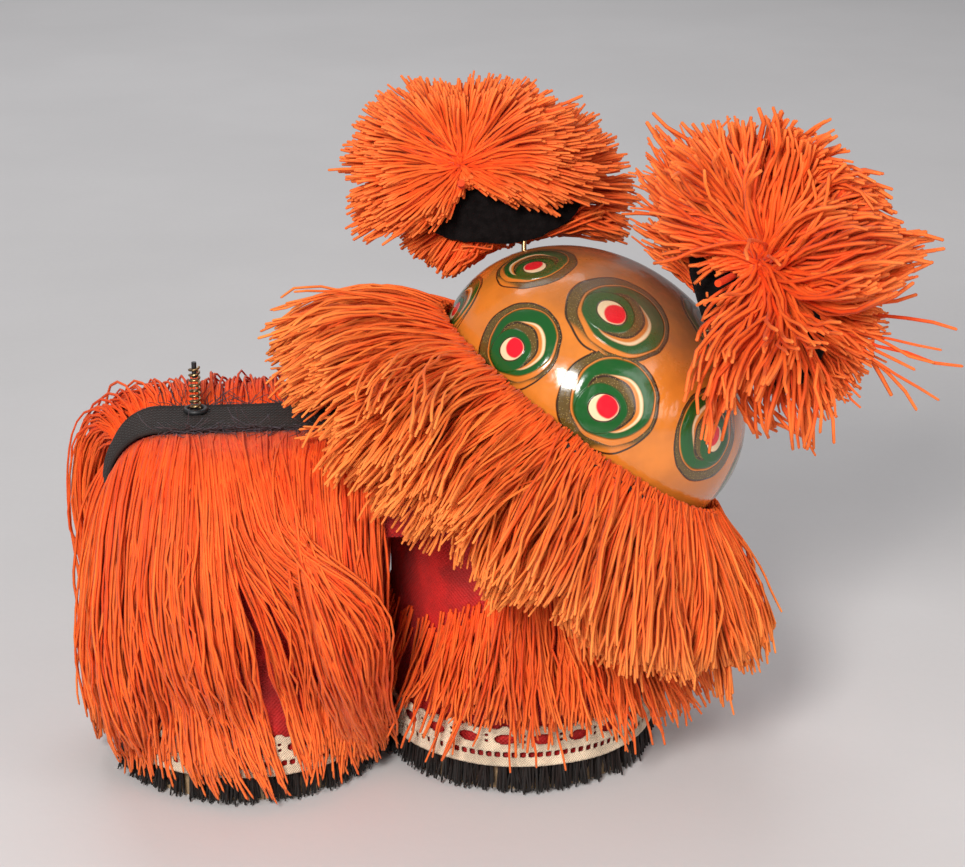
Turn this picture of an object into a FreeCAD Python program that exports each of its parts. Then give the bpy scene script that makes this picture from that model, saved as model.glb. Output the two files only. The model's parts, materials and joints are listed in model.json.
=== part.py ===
"""Fringed folk figure: two drum legs under a stuffed back, a lacquered ball head in a thread ruff.

Frame: millimetres, +Z up, +X towards the head.
The origin is the centre of the front foot's underside, on the surface that the figure stands on.
"""
import FreeCAD, Part
import math
import os

from FreeCAD import Placement, Rotation
from FreeCAD import Vector as V

# ---- drum legs -------------------------------------------------------------
CORE_RADIUS = 25.6          # stiff drum that fills each pair of legs
CORE_TOP = 56.0             # height where the drums end and the back pad begins
CLOTH = 0.8                 # thickness of the crimson cloth with its lining
LACE_THICKNESS = 1.0
LACE_HEIGHT = 9.0
BRISTLE_HEIGHT = 6.5
BRISTLE_DEPTH = 2.4         # radial depth of the bristle row under the lace
FOOT_CLEARANCE = 0.3        # foot disc to bristle row
LEG_GAP = 0.8               # between the lace of the two drums

# ---- back, spine tape and body fringe -------------------------------------------
PAD_HEIGHT = 14.0
PAD_EDGE_RADIUS = 9.5
PAD_FRONT = -10.0           # where the back pad ends, behind the neck cup
TAPE_WIDTH = 14.0
TAPE_THICKNESS = 1.4
TAPE_DROP = 9.0             # how far the tape comes down over the rear edge
TAPE_END_GAP = 9.0          # from the tape's front end to the pad's front end
FRINGE_THICKNESS = 2.6
FRINGE_GAP = 0.3            # fringe to the lace under it, and to the tape beside it
FRINGE_HEM = 5.0            # height of the thread ends above the surface
FRONT_FRINGE_TOP = 40.0

# ---- head ----------------------------------------------------------------------
BALL_EQUATOR = 32.6         # outer radius across the dome axis
BALL_POLE = 26.6            # outer radius along the dome axis
SHELL_WALL = 2.0
HEAD_FORWARD = 14.2         # ball centre ahead of the front foot's centre
HEAD_ABOVE_DRUMS = 19.4     # ball centre above the drums' tops
HEAD_TILT = 36.8            # dome axis from vertical, forward
HEAD_YAW = 5.0              # dome axis turned towards +Y
HEAD_CLEARANCE = 1.5        # ball to neck cup and to mane band
SEAM_DEPTH = 7.0            # below the ball's widest circle, where its two halves are glued

# ---- neck ----------------------------------------------------------------------
CUP_WALL = 3.0
BAND_TOP = 5.5              # top of the mane band below the ball's widest circle
BAND_HEIGHT = 3.7
POST_RADIUS = 2.5
POST_DEPTH = 50.0           # from the ball centre to the post's foot in the front drum
POST_HEAD = 2.4             # post above the nod pin
NOD_LIMIT = 10.0            # degrees each way, for the mouth in the head's lower half
PIN_RADIUS = 0.8
PIN_RUNNING_GAP = 0.05
PIN_OVERHANG = 1.2          # pin beyond each cheek
CHEEK_THICKNESS = 1.6
CHEEK_HALF_WIDTH = 3.0
SPRING_LENGTH = 3.0         # nod spring on the pin, between post and cheek
SPRING_WIRE = 0.9
END_GAP = 0.3               # axial gap between neighbouring pieces on the pin or spindle
BRIDGE_BOTTOM = 4.0
BRIDGE_THICKNESS = 1.6
SPINDLE_RADIUS = 1.5
SPINDLE_GAP = 0.05
HUB_THICKNESS = 2.4
CAP_RADIUS = 3.2
CAP_THICKNESS = 2.4
MOUTH_MARGIN = 0.8          # mouth edge to post at the end of the nod

# ---- mane ----------------------------------------------------------------------
MANE_SECTORS = 20
MANE_STATIONS = 4
MANE_THICKNESS = 2.2
MANE_BOW = 0.12             # how far a lock bows out, as a share of its length
MANE_FRINGE_GAP = 0.3       # lower mane to the body fringe under it
MANE_ROOT_GAP = 0.8         # threads to the band they are sewn to
MANE_TIER_STEP = 4.6        # lower tier's root below the upper tier's
UPPER_REACH = 24.0          # upper tips beyond their root, in front and behind
UPPER_SIDE_REACH = 8.0      # the same at the sides, where the threads hang
UPPER_DROP = 12.0
UPPER_SIDE_DROP = 29.0
LOWER_REACH = 17.0
LOWER_SIDE_REACH = 2.6
LOWER_DROP = 21.0
LOWER_SIDE_DROP = 25.0
SECTOR_GAP = 0.35           # degrees left open at each side of a sector

# ---- ears ----------------------------------------------------------------------
EAR_WIRE_RADIUS = 0.5
EAR_WIRE_INSIDE = 4.0
EAR_KNOT_RADIUS = 1.3
EAR_HOLE_RADIUS = 1.2
LEAF_LENGTH = 40.0
LEAF_WIDTH = 22.0
LEAF_THICKNESS = 2.0
LEAF_LIFT = 1.2             # leaf's lower edge above the ball
EAR_LAYER_GAP = 0.15
EAR_FRINGE_LENGTH = 56.0
EAR_FRINGE_WIDTH = 37.0
EAR_FRINGE_THICKNESS = 7.0
EAR_SWEEP_CLEARANCE = 3.0   # ear threads above the root, for the sway
POMPON_ALONG = -7.0         # pompon's centre from the leaf's, along the leaf
POMPON_OUT = 7.5            # and away from the ball
POMPON_ROUNDING = 0.4       # rim radius of the pompon as a share of its depth
STITCH_RADIUS = 0.7
LEFT_EAR_PLACE = (-0.405, 0.365, 0.838)
LEFT_EAR_ALONG = (0.996, -0.087, 0.0)
LEFT_LEAF_SHIFT = -5.5      # leaf's centre beside its root
LEFT_POMPON = (50.0, 32.0, 16.0)
RIGHT_EAR_PLACE = (0.756, -0.366, 0.541)
RIGHT_EAR_ALONG = (0.442, -0.341, -0.827)
RIGHT_LEAF_SHIFT = 0.0
RIGHT_POMPON = (70.0, 60.0, 22.0)

# ---- tail spring ----------------------------------------------------------------
TAIL_BACK = 9.0             # behind the rear drum's centre
TAIL_SIDE = 3.0
TAIL_COIL_RADIUS = 0.95     # to the middle of the wire
TAIL_WIRE_RADIUS = 0.25
TAIL_PITCH = 1.1
TAIL_TURNS = 8
TAIL_KNOT_RADIUS = 0.5
TAIL_STUB_LENGTH = 3.2
TAIL_STUB_RADIUS = 0.5

# ---- worked out from the sizes above ---------------------------------------------
COVER_RADIUS = CORE_RADIUS + CLOTH
LACE_RADIUS = COVER_RADIUS + LACE_THICKNESS
LEG_SPACING = 2 * LACE_RADIUS + LEG_GAP
REAR = V(-LEG_SPACING, 0, 0)
FRONT = V(0, 0, 0)
BETWEEN_LEGS = -LEG_SPACING / 2
PAD_TOP = CORE_TOP + PAD_HEIGHT
FRINGE_INNER = CLOTH + LACE_THICKNESS + FRINGE_GAP
FRINGE_OUTER = FRINGE_INNER + FRINGE_THICKNESS
HEAD_TURN = Rotation(V(0, 0, 1), HEAD_YAW) * Rotation(V(0, 1, 0), HEAD_TILT)
HEAD_CENTRE = V(HEAD_FORWARD, 0, CORE_TOP + HEAD_ABOVE_DRUMS)
HEAD_FRAME = Placement(HEAD_CENTRE, HEAD_TURN)
DOME_AXIS = HEAD_TURN.multVec(V(0, 0, 1))
BIG = 400.0                 # larger than the figure, for the tools that trim pieces


def drum(radius, low, high, centre):
    return Part.makeCylinder(radius, high - low, V(centre.x, centre.y, low))


def tube(outer, inner, low, high, centre):
    return drum(outer, low, high, centre).cut(drum(inner, low, high, centre))


def block(low, high):
    size = high.sub(low)
    return Part.makeBox(size.x, size.y, size.z, low)


def oval_arc(grow, low, high):
    """The ball's outline, grown outwards, between two levels on the dome axis."""
    equator = BALL_EQUATOR + grow
    pole = BALL_POLE + grow
    if equator >= pole:
        ellipse = Part.Ellipse(V(equator, 0, 0), V(0, 0, pole), V(0, 0, 0))
        return Part.ArcOfEllipse(ellipse, math.asin(low / pole), math.asin(high / pole)).toShape()
    ellipse = Part.Ellipse(V(0, 0, pole), V(equator, 0, 0), V(0, 0, 0))
    return Part.ArcOfEllipse(ellipse, math.acos(high / pole), math.acos(low / pole)).toShape()


def oval_radius(grow, level):
    return (BALL_EQUATOR + grow) * math.sqrt(max(0.0, 1 - (level / (BALL_POLE + grow)) ** 2))


def oval_level(grow, radius):
    """Level below the widest circle where the grown outline has this radius."""
    return -(BALL_POLE + grow) * math.sqrt(1 - (radius / (BALL_EQUATOR + grow)) ** 2)


def spun(edges):
    """Turn a closed outline about the dome axis into a solid."""
    outline = Part.Face(Part.Wire(Part.__sortEdges__(edges)))
    solid = outline.revolve(V(0, 0, 0), V(0, 0, 1), 360)
    if solid.Volume < 0:
        solid.reverse()
    return solid


def ball(grow=0.0):
    pole = BALL_POLE + grow
    axis = Part.LineSegment(V(0, 0, -pole), V(0, 0, pole)).toShape()
    return spun([oval_arc(grow, -pole, pole), axis])


def ball_wall(outer_grow, outer_span, inner_grow, inner_span):
    """A ring of wall between two grown outlines, each over its own span of levels."""
    edges = [oval_arc(outer_grow, *outer_span), oval_arc(inner_grow, *inner_span)]
    for outer_level, inner_level in zip(outer_span, inner_span):
        ends = V(oval_radius(outer_grow, outer_level), 0, outer_level), \
            V(oval_radius(inner_grow, inner_level), 0, inner_level)
        edges.append(Part.LineSegment(*ends).toShape())
    return spun(edges)


def in_head(shape):
    """Move a piece that was made about the ball's centre and dome axis to its place."""
    placed = shape.copy()
    placed.Placement = HEAD_FRAME.multiply(placed.Placement)
    return placed


def pad_solid(grow):
    """The back: a round rear end, straight flanks, and a rounded upper edge."""
    radius = CORE_RADIUS + grow
    top = PAD_TOP + grow
    rear = REAR.x
    corners = [V(rear, -radius, CORE_TOP), V(PAD_FRONT, -radius, CORE_TOP),
               V(PAD_FRONT, radius, CORE_TOP), V(rear, radius, CORE_TOP)]
    sides = [Part.LineSegment(a, b).toShape() for a, b in zip(corners, corners[1:])]
    end = Part.Arc(corners[3], V(rear - radius, 0, CORE_TOP), corners[0]).toShape()
    outline = Part.Face(Part.Wire(sides + [end]))
    solid = outline.extrude(V(0, 0, top - CORE_TOP))
    rim = [e for e in solid.Edges
           if all(abs(v.Z - top) < 1e-6 for v in e.Vertexes)
           and not all(abs(v.X - PAD_FRONT) < 1e-6 for v in e.Vertexes)]
    return solid.makeFillet(PAD_EDGE_RADIUS + grow, rim)


CUP_OUTSIDE = in_head(ball(HEAD_CLEARANCE + CUP_WALL))


def make_legs(name, centre):
    """One drum with its foot, cloth, lace and bristle row."""
    bristle_outer = LACE_RADIUS
    bristle_inner = bristle_outer - BRISTLE_DEPTH
    foot_radius = bristle_inner - FOOT_CLEARANCE
    core = drum(CORE_RADIUS, BRISTLE_HEIGHT, CORE_TOP, centre).cut(CUP_OUTSIDE)
    cover = tube(COVER_RADIUS, CORE_RADIUS, BRISTLE_HEIGHT, CORE_TOP, centre).cut(CUP_OUTSIDE)
    return {
        name + "_core": core,
        name + "_foot_disc": drum(foot_radius, 0, BRISTLE_HEIGHT, centre),
        name + "_cover": cover,
        name + "_lace": tube(LACE_RADIUS, COVER_RADIUS, BRISTLE_HEIGHT,
                             BRISTLE_HEIGHT + LACE_HEIGHT, centre),
        name + "_bristles": tube(bristle_outer, bristle_inner, 0, BRISTLE_HEIGHT, centre),
    }


def make_back():
    pad = pad_solid(0)
    cover = pad_solid(CLOTH).cut(pad)
    strip = block(V(-BIG, -TAPE_WIDTH / 2, PAD_TOP - TAPE_DROP),
                  V(PAD_FRONT - TAPE_END_GAP, TAPE_WIDTH / 2, BIG))
    tape = pad_solid(CLOTH + TAPE_THICKNESS).cut(pad_solid(CLOTH)).common(strip)
    tape = tape.cut(CUP_OUTSIDE)
    return {
        "back_pad": pad.cut(CUP_OUTSIDE),
        "back_cover": cover.cut(CUP_OUTSIDE),
        "spine_tape": tape,
    }


def make_body_fringe(mane_room):
    """Threads from the tape down both sides of the rear drum, and round the front drum."""
    def envelope(grow):
        lower = drum(CORE_RADIUS + grow, FRINGE_HEM, CORE_TOP, REAR)
        return lower.fuse(pad_solid(grow)).removeSplitter()

    rear = envelope(FRINGE_OUTER).cut(envelope(FRINGE_INNER))
    half_tape = TAPE_WIDTH / 2 + FRINGE_GAP
    corridor = block(V(-BIG, -half_tape, PAD_TOP - TAPE_DROP - FRINGE_GAP),
                     V(BIG, half_tape, BIG))
    rear_end = BETWEEN_LEGS - FRINGE_GAP / 2
    rear = rear.cut(corridor).common(block(V(-BIG, -BIG, 0), V(rear_end, BIG, BIG)))
    front = tube(CORE_RADIUS + FRINGE_OUTER, CORE_RADIUS + FRINGE_INNER,
                 FRINGE_HEM, FRONT_FRINGE_TOP, FRONT)
    front = front.common(block(V(rear_end + FRINGE_GAP, -BIG, 0), V(BIG, BIG, BIG)))
    rear = rear.cut(mane_room)
    front = front.cut([CUP_OUTSIDE] + mane_room)
    near = block(V(-BIG, -BIG, -1), V(BIG, -FRINGE_GAP / 2, BIG))
    far = block(V(-BIG, FRINGE_GAP / 2, -1), V(BIG, BIG, BIG))
    return {
        "rear_fringe_near": rear.common(near),
        "rear_fringe_far": rear.common(far),
        "front_fringe_near": front.common(near),
        "front_fringe_far": front.common(far),
    }


def make_neck():
    """Neck cup, post, nod pin and its springs, and the yoke that the head turns on."""
    outside = HEAD_CLEARANCE + CUP_WALL
    band_span = (-BAND_TOP - BAND_HEIGHT, -BAND_TOP)
    cup = ball_wall(outside, (oval_level(outside, POST_RADIUS), band_span[0]),
                    HEAD_CLEARANCE, (oval_level(HEAD_CLEARANCE, POST_RADIUS), band_span[0]))
    band = ball_wall(outside, band_span, HEAD_CLEARANCE, band_span)

    def along_pin(radius, start, end):
        return Part.makeCylinder(radius, end - start, V(0, start, 0), V(0, 1, 0))

    cheek_inner = POST_RADIUS + END_GAP + SPRING_LENGTH + END_GAP
    cheek_outer = cheek_inner + CHEEK_THICKNESS
    pin_end = cheek_outer + PIN_OVERHANG
    pin = along_pin(PIN_RADIUS, -pin_end, pin_end)
    post = Part.makeCylinder(POST_RADIUS, POST_DEPTH + POST_HEAD, V(0, 0, -POST_DEPTH)).cut(pin)
    spring_start = POST_RADIUS + END_GAP
    spring_end = spring_start + SPRING_LENGTH
    coil = along_pin(PIN_RADIUS + SPRING_WIRE, spring_start, spring_end)
    coil = coil.cut(along_pin(PIN_RADIUS, spring_start, spring_end))
    springs = Part.Compound([coil, coil.mirror(V(0, 0, 0), V(0, 1, 0))])

    bridge_top = BRIDGE_BOTTOM + BRIDGE_THICKNESS
    yoke = block(V(-CHEEK_HALF_WIDTH, -cheek_outer, BRIDGE_BOTTOM),
                 V(CHEEK_HALF_WIDTH, cheek_outer, bridge_top))
    for side in (-1, 1):
        inner, outer = sorted((side * cheek_inner, side * cheek_outer))
        cheek = block(V(-CHEEK_HALF_WIDTH, inner, 0), V(CHEEK_HALF_WIDTH, outer, bridge_top))
        cheek = cheek.fuse(along_pin(CHEEK_HALF_WIDTH, inner, outer))
        yoke = yoke.fuse(cheek)
    yoke = yoke.cut(along_pin(PIN_RADIUS + PIN_RUNNING_GAP, -pin_end, pin_end))
    hub_low = bridge_top + END_GAP
    hub_high = hub_low + HUB_THICKNESS
    cap_low = hub_high + END_GAP
    cap_high = cap_low + CAP_THICKNESS
    spindle = Part.makeCylinder(SPINDLE_RADIUS, cap_high - bridge_top, V(0, 0, bridge_top))
    yoke = yoke.fuse(spindle).removeSplitter()
    cap = Part.makeCylinder(CAP_RADIUS, CAP_THICKNESS, V(0, 0, cap_low)).cut(spindle)

    bore = SPINDLE_RADIUS + SPINDLE_GAP
    rim = [V(oval_radius(-SHELL_WALL, hub_low), 0, hub_low), V(bore, 0, hub_low),
           V(bore, 0, hub_high), V(oval_radius(-SHELL_WALL, hub_high), 0, hub_high)]
    lines = [Part.LineSegment(a, b).toShape() for a, b in zip(rim, rim[1:])]
    hub = spun(lines + [oval_arc(-SHELL_WALL, hub_low, hub_high)])
    pieces = {
        "neck_cup": cup,
        "mane_band": band,
        "neck_post": post,
        "nod_pin": pin,
        "nod_springs": springs,
        "nod_yoke": yoke,
        "spindle_cap": cap,
        "head_hub": hub,
    }
    socket = Part.makeCylinder(POST_RADIUS, POST_DEPTH, V(0, 0, -POST_DEPTH))
    return {name: in_head(piece) for name, piece in pieces.items()}, in_head(socket)


def make_head(ear_holes):
    """The ball's two glued halves."""
    mouth = POST_RADIUS + BALL_POLE * math.tan(math.radians(NOD_LIMIT)) + MOUTH_MARGIN
    upper = ball_wall(0, (-SEAM_DEPTH, BALL_POLE), -SHELL_WALL, (-SEAM_DEPTH, BALL_POLE - SHELL_WALL))
    lower = ball_wall(0, (oval_level(0, mouth), -SEAM_DEPTH),
                      -SHELL_WALL, (oval_level(-SHELL_WALL, mouth), -SEAM_DEPTH))
    upper = in_head(upper).cut(ear_holes)
    return {"head_upper_shell": upper.toNurbs(), "head_lower_shell": in_head(lower)}


def polyhedron(rings):
    """A closed solid through rows of four corners each, capped at both ends."""
    faces = []

    def triangle(a, b, c):
        faces.append(Part.Face(Part.makePolygon([a, b, c, a])))

    for lower, upper in zip(rings, rings[1:]):
        for i in range(4):
            j = (i + 1) % 4
            triangle(lower[i], lower[j], upper[j])
            triangle(lower[i], upper[j], upper[i])
    for ring in (rings[0], rings[-1]):
        triangle(ring[0], ring[1], ring[2])
        triangle(ring[0], ring[2], ring[3])
    solid = Part.Solid(Part.Shell(faces))
    if solid.Volume < 0:
        solid.reverse()
    return solid


def mane_tier(root_level, reach, side_reach, drop, side_drop, room=0.0):
    """A flared skirt of thread locks: long outwards in front and behind, hanging at the sides.

    With some room, the locks are larger by that much and leave no gaps between them.
    """
    root_radius = BALL_EQUATOR + HEAD_CLEARANCE + CUP_WALL + MANE_ROOT_GAP

    def station(angle, along, across):
        level = math.cos(angle) ** 2
        out = side_reach + (reach - side_reach) * level
        down = side_drop + (drop - side_drop) * level
        chord = math.hypot(out, down)
        along *= 1 + room / chord
        bow = chord * MANE_BOW * math.sin(math.pi * along)
        radius = root_radius + out * along + (down * bow + down * across) / chord
        height = root_level - down * along + (out * bow + out * across) / chord
        return V(radius * math.cos(angle), radius * math.sin(angle), height)

    locks = []
    gap = 0 if room else SECTOR_GAP
    for i in range(MANE_SECTORS):
        first = math.radians(360.0 * i / MANE_SECTORS + gap)
        last = math.radians(360.0 * (i + 1) / MANE_SECTORS - gap)
        rings = []
        for k in range(MANE_STATIONS):
            s = k / (MANE_STATIONS - 1)
            rings.append([station(first, s, -room), station(last, s, -room),
                          station(last, s, MANE_THICKNESS + room),
                          station(first, s, MANE_THICKNESS + room)])
        locks.append(in_head(polyhedron(rings)))
    return locks


def make_mane():
    """The two tiers, and the lower tier's locks with clearance round them for the fringe."""
    upper_root = -BAND_TOP - BAND_HEIGHT / 2
    lower_root = upper_root - MANE_TIER_STEP
    lower_sizes = LOWER_REACH, LOWER_SIDE_REACH, LOWER_DROP, LOWER_SIDE_DROP
    upper = mane_tier(upper_root, UPPER_REACH, UPPER_SIDE_REACH, UPPER_DROP, UPPER_SIDE_DROP)
    lower = mane_tier(lower_root, *lower_sizes)
    pieces = {
        "mane_upper_threads": Part.Compound(upper),
        "mane_lower_threads": Part.Compound(lower),
    }
    return pieces, mane_tier(lower_root, *lower_sizes, MANE_FRINGE_GAP)


def make_ear(name, place, along, leaf_shift, pompon_size):
    """A felt leaf on a wire, thread fringe behind it and a thread pompon tied on its front."""
    radial = V(*place).normalize()
    cosine = radial.dot(DOME_AXIS)
    surface = 1 / math.sqrt(cosine ** 2 / BALL_POLE ** 2 + (1 - cosine ** 2) / BALL_EQUATOR ** 2)
    root = HEAD_CENTRE + radial * surface
    side = V(*along).normalize()
    out = radial.sub(side * radial.dot(side)).normalize()
    face = side.cross(out)
    ear_frame = Placement(root, Rotation(side, out, face, "XYZ"))

    def place_ear(shape):
        shape.Placement = ear_frame.multiply(shape.Placement)
        return shape

    def oval_plate(length, width, low, high, centre, rounding):
        outline = Part.Ellipse(V(length / 2, 0, low), V(0, width / 2, low), V(0, 0, low))
        face = Part.Face(Part.Wire([outline.toShape()]))
        plate = face.extrude(V(0, 0, high - low))
        if rounding:
            rims = [e for e in plate.Edges if e.isClosed()]
            plate = plate.makeFillet(rounding, rims)
        plate.translate(centre)
        return plate

    leaf_centre = V(leaf_shift, LEAF_LIFT + LEAF_WIDTH / 2, 0)
    leaf_back = EAR_WIRE_RADIUS + EAR_LAYER_GAP
    leaf_front = leaf_back + LEAF_THICKNESS
    fringe_front = -EAR_WIRE_RADIUS - EAR_LAYER_GAP
    fringe_back = fringe_front - EAR_FRINGE_THICKNESS
    pompon_depth = pompon_size[2]
    pompon_back = leaf_front + EAR_LAYER_GAP
    pompon_centre = leaf_centre + V(POMPON_ALONG, POMPON_OUT, pompon_back + pompon_depth / 2)

    stitch_low = fringe_back + EAR_FRINGE_THICKNESS / 2
    stitch_high = pompon_centre.z
    stitch_foot = leaf_centre + V(POMPON_ALONG, 0, stitch_low)
    stitch = Part.makeCylinder(STITCH_RADIUS, stitch_high - stitch_low, stitch_foot)

    wire_top = leaf_centre.y
    wire = Part.makeCylinder(EAR_WIRE_RADIUS, EAR_WIRE_INSIDE + wire_top,
                             V(0, -EAR_WIRE_INSIDE, 0), V(0, 1, 0))
    wire = wire.fuse(Part.makeSphere(EAR_KNOT_RADIUS, V(0, -EAR_WIRE_INSIDE, 0)))

    leaf = oval_plate(LEAF_LENGTH, LEAF_WIDTH, leaf_back, leaf_front, leaf_centre, 0)
    fringe = oval_plate(EAR_FRINGE_LENGTH, EAR_FRINGE_WIDTH, fringe_back, fringe_front, leaf_centre, 0)
    pompon = oval_plate(pompon_size[0], pompon_size[1], -pompon_depth / 2, pompon_depth / 2,
                        pompon_centre, pompon_depth * POMPON_ROUNDING)
    leaf = leaf.cut(stitch)
    fringe = fringe.cut(stitch)
    pompon = pompon.cut(stitch)

    clear_of_ball = block(V(-BIG, EAR_SWEEP_CLEARANCE, -BIG), V(BIG, BIG, BIG))
    hole = place_ear(Part.makeCylinder(EAR_HOLE_RADIUS, 4 * SHELL_WALL,
                                       V(0, -2 * SHELL_WALL, 0), V(0, 1, 0)))
    pieces = {
        name + "_wire": place_ear(wire),
        name + "_leaf": place_ear(leaf),
        name + "_fringe": place_ear(fringe.common(clear_of_ball)),
        name + "_pompon": place_ear(pompon.common(clear_of_ball)),
        name + "_stitch": place_ear(stitch),
    }
    return pieces, hole


def make_tail():
    """A coil of brass wire standing on the tape, with a black stub in its top."""
    foot = PAD_TOP + CLOTH + TAPE_THICKNESS
    place = V(REAR.x - TAIL_BACK, TAIL_SIDE, foot)
    knot_height = 2 * TAIL_KNOT_RADIUS
    knot = Part.makeTorus(TAIL_COIL_RADIUS + TAIL_WIRE_RADIUS + TAIL_KNOT_RADIUS + END_GAP,
                          TAIL_KNOT_RADIUS, place + V(0, 0, TAIL_KNOT_RADIUS))
    height = TAIL_PITCH * TAIL_TURNS
    helix = Part.makeHelix(TAIL_PITCH, height, TAIL_COIL_RADIUS)
    section = Part.Wire(Part.makeCircle(TAIL_WIRE_RADIUS, V(TAIL_COIL_RADIUS, 0, 0), V(0, 1, 0)))
    coil = Part.Wire(helix.Edges).makePipeShell([section], True, True)
    coil.translate(place + V(0, 0, TAIL_WIRE_RADIUS + END_GAP))
    stub_radius = min(TAIL_STUB_RADIUS, TAIL_COIL_RADIUS - TAIL_WIRE_RADIUS)
    stub = Part.makeCylinder(stub_radius, TAIL_STUB_LENGTH, place + V(0, 0, height - TAIL_STUB_LENGTH / 2))
    return {"tail_knot": knot, "tail_spring": coil, "tail_stub": stub}


def main():
    pieces = {}
    pieces.update(make_legs("rear", REAR))
    pieces.update(make_legs("front", FRONT))
    pieces.update(make_back())
    mane, mane_room = make_mane()
    pieces.update(make_body_fringe(mane_room))
    neck, socket = make_neck()
    pieces.update(neck)
    pieces["front_core"] = pieces["front_core"].cut(socket)
    pieces.update(mane)
    left, left_hole = make_ear("left_ear", LEFT_EAR_PLACE, LEFT_EAR_ALONG,
                               LEFT_LEAF_SHIFT, LEFT_POMPON)
    right, right_hole = make_ear("right_ear", RIGHT_EAR_PLACE, RIGHT_EAR_ALONG,
                                 RIGHT_LEAF_SHIFT, RIGHT_POMPON)
    pieces.update(left)
    pieces.update(right)
    pieces.update(make_head([left_hole, right_hole]))
    pieces.update(make_tail())
    os.makedirs("parts", exist_ok=True)
    for name, shape in pieces.items():
        shape.exportStep("parts/" + name + ".step")
        solids = shape.Solids
        box = shape.BoundBox
        print(name, len(solids), "solids", round(sum(s.Volume for s in solids)), "mm3",
              "valid" if shape.isValid() else "INVALID",
              [round(c, 1) for c in (box.XMin, box.XMax, box.YMin, box.YMax, box.ZMin, box.ZMax)])


main()
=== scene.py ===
"""Looks of a fringed folk beast: drum legs, thread fringes, lacquered ball head and thread-tufted ears."""
import json
import math

import bmesh
import bpy
import numpy as np
from mathutils import Matrix, Vector, noise


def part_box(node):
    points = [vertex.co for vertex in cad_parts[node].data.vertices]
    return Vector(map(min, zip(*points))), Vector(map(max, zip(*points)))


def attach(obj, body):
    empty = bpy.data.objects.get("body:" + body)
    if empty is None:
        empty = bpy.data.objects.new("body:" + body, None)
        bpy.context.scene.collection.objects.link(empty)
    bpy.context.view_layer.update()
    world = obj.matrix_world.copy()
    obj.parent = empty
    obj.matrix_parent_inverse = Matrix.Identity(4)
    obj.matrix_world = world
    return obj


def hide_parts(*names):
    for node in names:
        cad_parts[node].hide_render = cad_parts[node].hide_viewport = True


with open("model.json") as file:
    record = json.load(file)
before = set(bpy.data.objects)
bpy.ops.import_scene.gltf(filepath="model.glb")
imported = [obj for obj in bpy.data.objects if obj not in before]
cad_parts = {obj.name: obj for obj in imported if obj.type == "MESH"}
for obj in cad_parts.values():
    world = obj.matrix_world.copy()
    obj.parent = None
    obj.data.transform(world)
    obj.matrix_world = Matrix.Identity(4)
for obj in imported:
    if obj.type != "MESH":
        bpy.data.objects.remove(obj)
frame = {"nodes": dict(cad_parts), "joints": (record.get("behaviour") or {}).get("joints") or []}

bl_info = {
    "name": "Fringed Folk Beast",
    "version": (1, 0, 0),
    "blender": (4, 5, 0),
    "location": "View3D > Sidebar > Figure",
    "description": "Builds the cloth, thread, lace and painted pieces of a small fringed folk figure",
    "category": "Add Mesh",
}

MM = 0.001
DOWN = np.array([0.0, 0.0, -1.0])
UP = -DOWN
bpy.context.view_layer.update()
THREAD_SIDES = 4            # a bevel without extra resolution has four sides
THREAD_TAPER = 0.006        # share of a thread over which its root closes
FLOAT, VECTOR, COLOUR = "NodeSocketFloat", "NodeSocketVector", "NodeSocketColor"


def box_mm(node):
    """Lowest and highest corners of a CAD node in millimetres."""
    low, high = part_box(node)
    return np.array(low) / MM, np.array(high) / MM


def unit(vectors):
    vectors = np.asarray(vectors, float)
    return vectors / np.maximum(np.linalg.norm(vectors, axis=-1, keepdims=True), 1e-9)


def smooth(low, high, value):
    """Smooth step from 0 at low to 1 at high."""
    t = np.clip((np.asarray(value, float) - low) / (high - low), 0, 1)
    return t * t * (3 - 2 * t)


# ---- places read from the frame, in millimetres ----
JOINTS = {joint["name"]: joint for joint in frame["joints"]}
REAR = sum(box_mm("rear_foot_disc")) / 2 * (1, 1, 0)
FRONT = sum(box_mm("front_foot_disc")) / 2 * (1, 1, 0)
LACE_LOW, LACE_HIGH = box_mm("front_lace")[0][2], box_mm("front_lace")[1][2]
LACE_RADIUS = box_mm("front_lace")[1][0] - FRONT[0]
COVER_RADIUS = box_mm("front_cover")[1][0] - FRONT[0]
CORE_RADIUS = box_mm("rear_core")[1][0] - REAR[0]
BACK_LOW, BACK_TOP = box_mm("back_cover")[0][2], box_mm("back_cover")[1][2]
BACK_FRONT = box_mm("back_cover")[1][0]
BACK_EDGE = 10.3            # rounding of the covered back's upper edge
BACK_INSET = COVER_RADIUS - BACK_EDGE
TAPE_LOW, TAPE_HIGH = box_mm("spine_tape")
TAPE_WIDTH = TAPE_HIGH[1] - TAPE_LOW[1]
HEAD = np.array(JOINTS["head_nod"]["pos_m"]) / MM
DOME = unit(JOINTS["head_turn"]["axis"])
ACROSS = unit(JOINTS["head_nod"]["axis"])
AHEAD = np.cross(ACROSS, DOME)
HEAD_AXES = np.array([AHEAD, ACROSS, DOME])
EQUATOR, POLE = 32.6, 26.6  # radii of the ball across and along its dome axis


# ---- settings ----
def colour(thing, default):
    return bpy.props.FloatVectorProperty(name=thing.capitalize(), description="Colour of the " + thing,
                                         default=default, subtype="COLOR", size=3, min=0.0, max=1.0)


def size(thing, default):
    return bpy.props.FloatProperty(name=thing, description=thing + " in metres", default=default,
                                   unit="LENGTH", min=0.0)


def angle(thing, degrees):
    return bpy.props.FloatProperty(name=thing, description=thing, default=math.radians(degrees),
                                   subtype="ANGLE")


def strands(thing, default):
    return bpy.props.IntProperty(name=thing, description=thing, default=default, min=10)


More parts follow.
